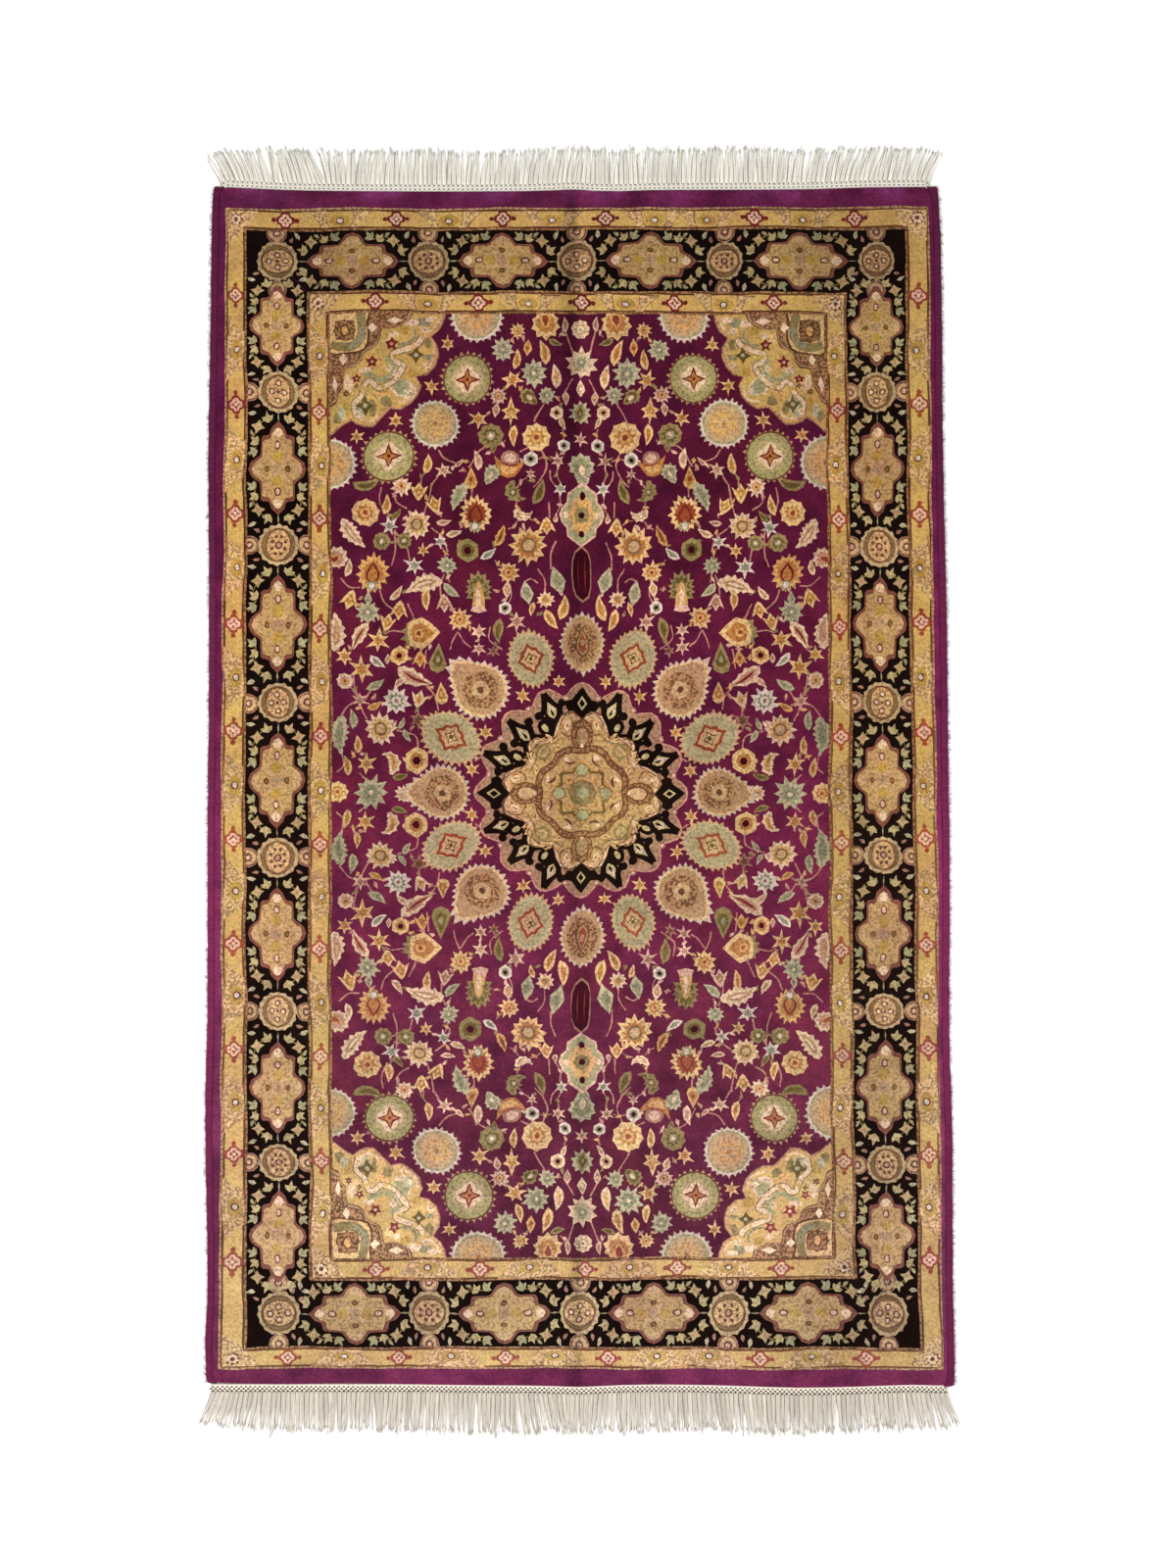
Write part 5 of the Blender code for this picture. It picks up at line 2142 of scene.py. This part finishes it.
    def add_bundles(self):
        """The loose yarns, in bundles of even pitch that lean and part as in their tables."""
        places = np.arange(self.first / MM - 30, self.last / MM + 60, CLUMP_STEP)
        clumps = [(x, chance.uniform(-1, 1)) for x in places]
        for k in range(self.count):
            bundle = {
                "at": self.first + (k + 0.5) * self.pitch,
                "lean": chance.gauss(0, 1.1) * MM,
                "length": chance.gauss(1.0, self.kind["ragged"] * 0.7),
                "tone": chance.gauss(1.0, 0.05),
            }
            for j in range(YARNS_EACH):
                self.add_yarn(bundle, ((j + 0.5) / YARNS_EACH - 0.5) * self.pitch, j == 0, clumps)


def make_fringe(name, end, table, gaps, kind):
    fringe = Fringe(end, table, gaps, kind)
    fringe.add_web()
    fringe.add_bundles()
    return fringe.yarns.finished(name)


# Materials

class Nodes:
    """Adds nodes to a material and links them by name."""

    def __init__(self, name, roughness, specular=0.06):
        self.material = bpy.data.materials.new(name)
        self.material.use_nodes = True
        self.tree = self.material.node_tree
        self.shader = self.tree.nodes["Principled BSDF"]
        self.set_shader("Roughness", roughness)
        self.set_shader("Specular IOR Level", specular)

    def set_shader(self, name, value):
        self.fill(self.shader.inputs[name], value)

    def fill(self, socket, value):
        """Links a socket to another node's output, or else sets its value."""
        if isinstance(value, bpy.types.NodeSocket):
            self.tree.links.new(value, socket)
        else:
            socket.default_value = value

    def new(self, kind, settings=None, **inputs):
        """A node with its settings and inputs; i0 and the like are inputs by number."""
        node = self.tree.nodes.new(kind)
        for key, value in (settings or {}).items():
            setattr(node, key, value)
        for key, value in inputs.items():
            number = key[0] == "i" and key[1:].isdigit()
            self.fill(node.inputs[int(key[1:]) if number else key], value)
        return node

    def noise(self, where, scale, detail):
        return self.new("ShaderNodeTexNoise", None, Vector=where, Scale=scale, Detail=detail).outputs["Fac"]

    def maths(self, operation, first, second=0.0):
        return self.new("ShaderNodeMath", {"operation": operation}, i0=first, i1=second).outputs[0]

    def product(self, first, *factors):
        """A value multiplied by each factor in turn."""
        for factor in factors:
            first = self.maths("MULTIPLY", first, factor)
        return first

    def ranged(self, value, first, last, low, high):
        """Maps first..last to low..high, held beyond."""
        node = self.new("ShaderNodeMapRange", None, Value=value)
        for name, number in (("From Min", first), ("From Max", last), ("To Min", low), ("To Max", high)):
            node.inputs[name].default_value = number
        return node.outputs["Result"]

    def mixed(self, first, second, share):
        """The first value where the share is 0, the second where it is 1."""
        kept = self.product(first, self.maths("SUBTRACT", 1.0, share))
        return self.maths("ADD", kept, self.product(second, share))

    def mixed_colour(self, share, first, second):
        """The first colour where the share is 0, the second where it is 1."""
        return self.new("ShaderNodeMix", {"data_type": "RGBA"}, i0=share, i6=first, i7=second).outputs[2]

    def curve(self, value, rows):
        """Reads a table of factors, from 0 to 2, on a smooth curve."""
        first, last = rows[0][0], rows[-1][0]
        node = self.new("ShaderNodeFloatCurve", None, Value=self.ranged(value, first, last, 0.0, 1.0))
        line = node.mapping.curves[0]
        for number, (at, factor) in enumerate(rows):
            spot = ((at - first) / (last - first), factor / 2)
            if number in (0, len(rows) - 1):
                line.points[0 if number == 0 else -1].location = spot
            else:
                line.points.new(*spot)
        node.mapping.update()
        return self.product(node.outputs[0], 2.0)

    def tinted(self, colour, factor):
        """A colour made darker or lighter by a factor."""
        node = self.new("ShaderNodeVectorMath", {"operation": "SCALE"}, i0=colour, Scale=factor)
        return node.outputs["Vector"]

    def add_bump(self, strength, distance, height):
        bump = self.new("ShaderNodeBump", None, Strength=strength, Distance=distance, Height=height)
        self.set_shader("Normal", bump.outputs[0])


# Painted light and shade along the rug (m) for the light yarns and for the dark ones, their saturation along
# the rug, lower towards the bottom end as painted sheen, and painted light and shade across the rug (m)
LIGHT_YARNS_PAINTED_LIGHT_ALONG = (
    (-0.77, 0.9), (-0.4, 0.93), (0.0, 0.92), (0.3, 0.94), (0.45, 0.91), (0.6, 0.85), (0.77, 0.75),
)
DARK_YARNS_PAINTED_LIGHT_ALONG = (
    (-0.77, 0.98), (-0.53, 1.05), (-0.38, 1.21), (-0.23, 1.37), (-0.08, 1.34), (0.07, 1.06), (0.22, 0.98),
    (0.37, 0.8), (0.53, 0.78), (0.77, 0.66),
)
DARK_YARNS_PAINTED_SHEEN_SATURATION = ((-0.77, 0.97), (-0.68, 0.92), (-0.45, 0.93), (0.0, 1.0), (0.4, 1.02), (0.77, 1.0))
LIGHT_YARNS_PAINTED_SHEEN_SATURATION = ((-0.77, 0.9), (-0.45, 0.93), (0.0, 1.0), (0.4, 1.02), (0.77, 1.0))
LIGHT_YARNS_PAINTED_LIGHT_ACROSS = (
    (-0.475, 1.0), (-0.4, 1.06), (-0.33, 0.95), (-0.28, 0.99), (0.24, 1.0), (0.33, 0.84), (0.4, 0.91),
    (0.475, 0.96),
)
DARK_YARNS_PAINTED_LIGHT_ACROSS = ((-0.475, 0.93), (-0.3, 1.0), (0.2, 1.0), (0.33, 1.08), (0.445, 1.1), (0.475, 1.42))
# Yarns up to the first share of flecks are dark, from the second on light, and beyond STIPPLED stippled
DARK_FLECKS, LIGHT_FLECKS = 0.36, 0.44
STIPPLED = 0.95
# Painted shade and highlight across the crease's flanks at the top, in the middle, further down and at the
# bottom (m from its ridge)
CREASE_PAINTED_SHADE_TOP = (
    (-0.03, 1.0), (-0.016, 0.72), (-0.007, 0.6), (0.0, 0.9), (0.008, 1.22), (0.018, 1.06), (0.03, 1.0),
)
CREASE_PAINTED_SHADE_MIDDLE = (
    (-0.03, 1.0), (-0.016, 0.9), (-0.007, 0.76), (0.0, 0.78), (0.008, 0.98), (0.018, 0.95), (0.03, 1.0),
)
CREASE_PAINTED_SHADE_LOWER = (
    (-0.03, 1.0), (-0.016, 1.14), (-0.008, 1.04), (0.0, 0.84), (0.009, 0.84), (0.018, 1.0), (0.03, 1.0),
)
CREASE_PAINTED_SHADE_BOTTOM = (
    (-0.03, 1.0), (-0.016, 1.0), (-0.008, 0.8), (0.0, 0.62), (0.009, 0.92), (0.018, 1.02), (0.03, 1.0),
)
# Where along the rug (m) each takes over from the one below it
CREASE_PAINTED_SHADE_STEPS = ((CREASE_PAINTED_SHADE_LOWER, -0.6, -0.48), (CREASE_PAINTED_SHADE_MIDDLE, -0.35, -0.15), (CREASE_PAINTED_SHADE_TOP, 0.4, 0.52))
# Painted violet highlight in patches along the top edge, on the dark yarns: where it starts and is full (m),
# its share and colour
TOP_EDGE_HIGHLIGHT_FROM = (0.748, 0.772)
TOP_EDGE_HIGHLIGHT_SHARE = 0.75
TOP_EDGE_HIGHLIGHT_COLOUR = (150, 62, 124)
# Share of the yarns' colour that the light doesn't make up for
LIGHT_SHARE = 0.8


def pile_material():
    """Wool pile: the yarns of the mesh, with flecks, single knots, random lighter and darker blotches, and
    painted light, shade and sheen along and across the rug, on the crease's flanks and along the top edge.
    """
    nodes = Nodes("pile_wool", 0.92, specular=0.02)
    nodes.set_shader("Sheen Weight", 0.01)
    nodes.set_shader("Sheen Roughness", 0.6)
    where = nodes.new("ShaderNodeTexCoord").outputs["Object"]
    across, along = nodes.new("ShaderNodeSeparateXYZ", None, i0=where).outputs[:2]
    yarn = nodes.new("ShaderNodeAttribute", {"attribute_name": "yarn"})
    colour, flecks = yarn.outputs["Color"], yarn.outputs["Alpha"]
    lightness = nodes.ranged(flecks, DARK_FLECKS, LIGHT_FLECKS, 0.0, 1.0)

    knot_size = (1.6 * KNOT, 1.6 * KNOT, 1.0)
    snapped = nodes.new("ShaderNodeVectorMath", {"operation": "SNAP"}, i0=where, i1=knot_size).outputs[0]
    knot = nodes.new("ShaderNodeTexWhiteNoise", {"noise_dimensions": "3D"}, Vector=snapped).outputs["Value"]
    grain = nodes.noise(where, 420.0, 2.0)
    streaks = nodes.new("ShaderNodeMapping", None, Vector=where, Scale=(9.0, 60.0, 1.0)).outputs[0]
    abrash = nodes.noise(streaks, 1.0, 3.0)
    blotches = nodes.noise(where, 30.0, 3.0)

    fleck = nodes.ranged(nodes.noise(where, 260.0, 1.0), 0.47, 0.62, 0.0, 1.0)
    flecked = nodes.maths("SUBTRACT", 1.08, nodes.product(fleck, nodes.product(flecks, 0.55)))
    stipple = nodes.ranged(nodes.noise(where, 330.0, 1.0), 0.45, 0.55, 0.42, 1.3)
    # Painted shade and highlight on the flanks of the crease
    from_crease = nodes.maths("SUBTRACT", across, CREASE_AT + SHIFT.x)
    crease = nodes.curve(from_crease, CREASE_PAINTED_SHADE_BOTTOM)
    for table, start, end in CREASE_PAINTED_SHADE_STEPS:
        taken_over = nodes.ranged(along, start, end, 0.0, 1.0)
        crease = nodes.mixed(crease, nodes.curve(from_crease, table), taken_over)
    # Random lighter and darker blotches, stronger on the dark yarns
    dark_blotching = nodes.ranged(blotches, 0.3, 0.7, 0.68, 1.32)
    light_blotching = nodes.ranged(blotches, 0.3, 0.7, 0.88, 1.12)
    # The curves along and across the rug are painted light and shade
    factor = nodes.product(
        nodes.mixed(flecked, stipple, nodes.ranged(flecks, STIPPLED, 1.0, 0.0, 1.0)),
        nodes.ranged(knot, 0.0, 1.0, 0.87, 1.13),
        nodes.ranged(grain, 0.0, 1.0, 0.76, 1.24),
        nodes.ranged(abrash, 0.0, 1.0, 0.84, 1.16),
        nodes.mixed(dark_blotching, light_blotching, lightness),
        nodes.mixed(nodes.curve(along, DARK_YARNS_PAINTED_LIGHT_ALONG), nodes.curve(along, LIGHT_YARNS_PAINTED_LIGHT_ALONG), lightness),
        nodes.mixed(nodes.curve(across, DARK_YARNS_PAINTED_LIGHT_ACROSS), nodes.curve(across, LIGHT_YARNS_PAINTED_LIGHT_ACROSS), lightness),
        crease,
        LIGHT_SHARE,
    )

    hue = nodes.ranged(nodes.noise(where, 8.0, 2.0), 0.35, 0.65, 0.488, 0.5)
    hue = nodes.maths("ADD", hue, nodes.ranged(blotches, 0.3, 0.7, 0.0, 0.009))
    # Paler colours towards the bottom end: painted sheen
    painted_sheen_saturation = nodes.mixed(nodes.curve(along, DARK_YARNS_PAINTED_SHEEN_SATURATION), nodes.curve(along, LIGHT_YARNS_PAINTED_SHEEN_SATURATION), lightness)
    rich = nodes.new("ShaderNodeHueSaturation", None, Color=colour, Hue=hue, Saturation=painted_sheen_saturation).outputs[0]
    # Painted violet highlight in patches along the top edge, on the dark yarns
    patches = nodes.ranged(nodes.noise(where, 20.0, 3.0), 0.42, 0.62, 0.0, 1.0)
    bloom = nodes.product(patches, nodes.ranged(along, *TOP_EDGE_HIGHLIGHT_FROM, 0.0, TOP_EDGE_HIGHLIGHT_SHARE))
    bloom = nodes.product(bloom, nodes.maths("SUBTRACT", 1.0, lightness))
    lit = nodes.mixed_colour(bloom, rich, (*linear(TOP_EDGE_HIGHLIGHT_COLOUR), 1))
    nodes.set_shader("Base Color", nodes.tinted(lit, factor))
    nodes.add_bump(0.5, 0.6 * MM, nodes.maths("ADD", nodes.product(knot, 0.4), grain))
    return nodes.material


def yarn_material(name, colour, tones, grain_scale, bump, painted_light_along=None, bottom_colour=None):
    """Wool or cotton yarn: its tone comes from the mesh, its fuzz from a fine grain.

    The tones are the limits that the grain gives it. A curve along the rug, if given, paints light and shade.
    A bottom colour, if given, is that of the bottom end.
    """
    nodes = Nodes(name, 0.9)
    where = nodes.new("ShaderNodeTexCoord").outputs["Object"]
    along = nodes.new("ShaderNodeSeparateXYZ", None, i0=where).outputs[1]
    tone = nodes.new("ShaderNodeAttribute", {"attribute_name": "tone"}).outputs["Fac"]
    grain = nodes.noise(where, grain_scale, 4.0)
    base = nodes.new("ShaderNodeRGB")
    base.outputs[0].default_value = (*linear(colour), 1)
    factor = nodes.product(tone, nodes.ranged(grain, 0.0, 1.0, *tones))
    # Painted light and shade along the rug
    if painted_light_along:
        factor = nodes.product(factor, nodes.product(nodes.curve(along, painted_light_along), LIGHT_SHARE))
    shown = base.outputs[0]
    if bottom_colour:
        shown = nodes.mixed_colour(nodes.ranged(along, -0.2, 0.2, 0.0, 1.0), (*linear(bottom_colour), 1), shown)
    nodes.set_shader("Base Color", nodes.tinted(shown, factor))
    nodes.add_bump(bump, 0.4 * MM, grain)
    return nodes.material


# Camera, floor and lights
CAMERA_AIM = Vector((10.7 * MM, 4.4 * MM)) + SHIFT
CAMERA_HEIGHT = 3.2
VIEW_HEIGHT = 2.019
SENSOR = 36.0
FLOOR_HALF = 6.0
FLOOR_DROP = 0.5 * MM
KEY_PLACE = (-0.5, -0.9, 3.2)
KEY_SIZE = (2.4, 1.8)
KEY_POWER = 84.0
SKY_STRENGTH = 0.85


def add_camera():
    data = bpy.data.cameras.new("camera")
    data.sensor_width = SENSOR
    data.lens = SENSOR * CAMERA_HEIGHT / VIEW_HEIGHT
    data.clip_end = 50.0
    camera = link(bpy.data.objects.new("camera", data))
    camera.location = (CAMERA_AIM.x, CAMERA_AIM.y, CAMERA_HEIGHT + RUG_THICKNESS)
    bpy.context.scene.camera = camera


def add_floor():
    mesh = bpy.data.meshes.new("floor")
    corners = [(x * FLOOR_HALF, y * FLOOR_HALF, -FLOOR_DROP) for x, y in ((-1, -1), (1, -1), (1, 1), (-1, 1))]
    mesh.from_pydata(corners, [], [(0, 1, 2, 3)])
    nodes = Nodes("floor", 0.9)
    nodes.set_shader("Base Color", (0.96, 0.96, 0.96, 1))
    mesh.materials.append(nodes.material)
    floor = link(bpy.data.objects.new("floor", mesh))


def add_key_light():
    """A large lamp above the bottom left of the rug."""
    data = bpy.data.lights.new("key", "AREA")
    data.shape = "RECTANGLE"
    data.size, data.size_y = KEY_SIZE
    data.energy = KEY_POWER
    light = link(bpy.data.objects.new("key", data))
    light.location = KEY_PLACE
    light.rotation_euler = (-Vector(KEY_PLACE)).to_track_quat("-Z", "Y").to_euler()


def add_sky():
    world = bpy.data.worlds.new("world")
    world.use_nodes = True
    background = world.node_tree.nodes["Background"]
    background.inputs["Color"].default_value = (1, 1, 1, 1)
    background.inputs["Strength"].default_value = SKY_STRENGTH
    bpy.context.scene.world = world
    bpy.context.scene.view_settings.view_transform = "Standard"
    bpy.context.scene.view_settings.look = "None"


# Colour of the cotton, and the yellower colour it turns to towards the bottom end
COTTON = (224, 219, 207)
BOTTOM_END_COTTON = (222, 212, 197)


def main():
    rug = make_rug()
    cords = [make_selvedge(-1, "selvedge_left"), make_selvedge(1, "selvedge_right")]
    fringes = [
        make_fringe("fringe_top_yarns", 1, TOP_STRANDS, TOP_GAPS, TOP_KIND),
        make_fringe("fringe_bottom_yarns", -1, BOTTOM_STRANDS, BOTTOM_GAPS, BOTTOM_KIND),
    ]
    wool = yarn_material("overcast_wool", YARNS["edging"][:3], (0.7, 1.35), 600.0, 0.5, painted_light_along=DARK_YARNS_PAINTED_LIGHT_ALONG)
    cotton = yarn_material("fringe_cotton", COTTON, (0.88, 1.1), 900.0, 0.2, bottom_colour=BOTTOM_END_COTTON)
    pieces = (
        (rug, "rug", "pile", pile_material()),
        (cords[0], "selvedge_left", "overcast_wool", wool),
        (cords[1], "selvedge_right", "overcast_wool", wool),
        (fringes[0], "fringe_top", "fringe_cotton", cotton),
        (fringes[1], "fringe_bottom", "fringe_cotton", cotton),
    )
    for piece, node, slot, material in pieces:
        piece.data.materials.append(material)
        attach(piece, "root")
        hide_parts(node)
    add_camera()
    add_floor()
    add_key_light()
    add_sky()


main()
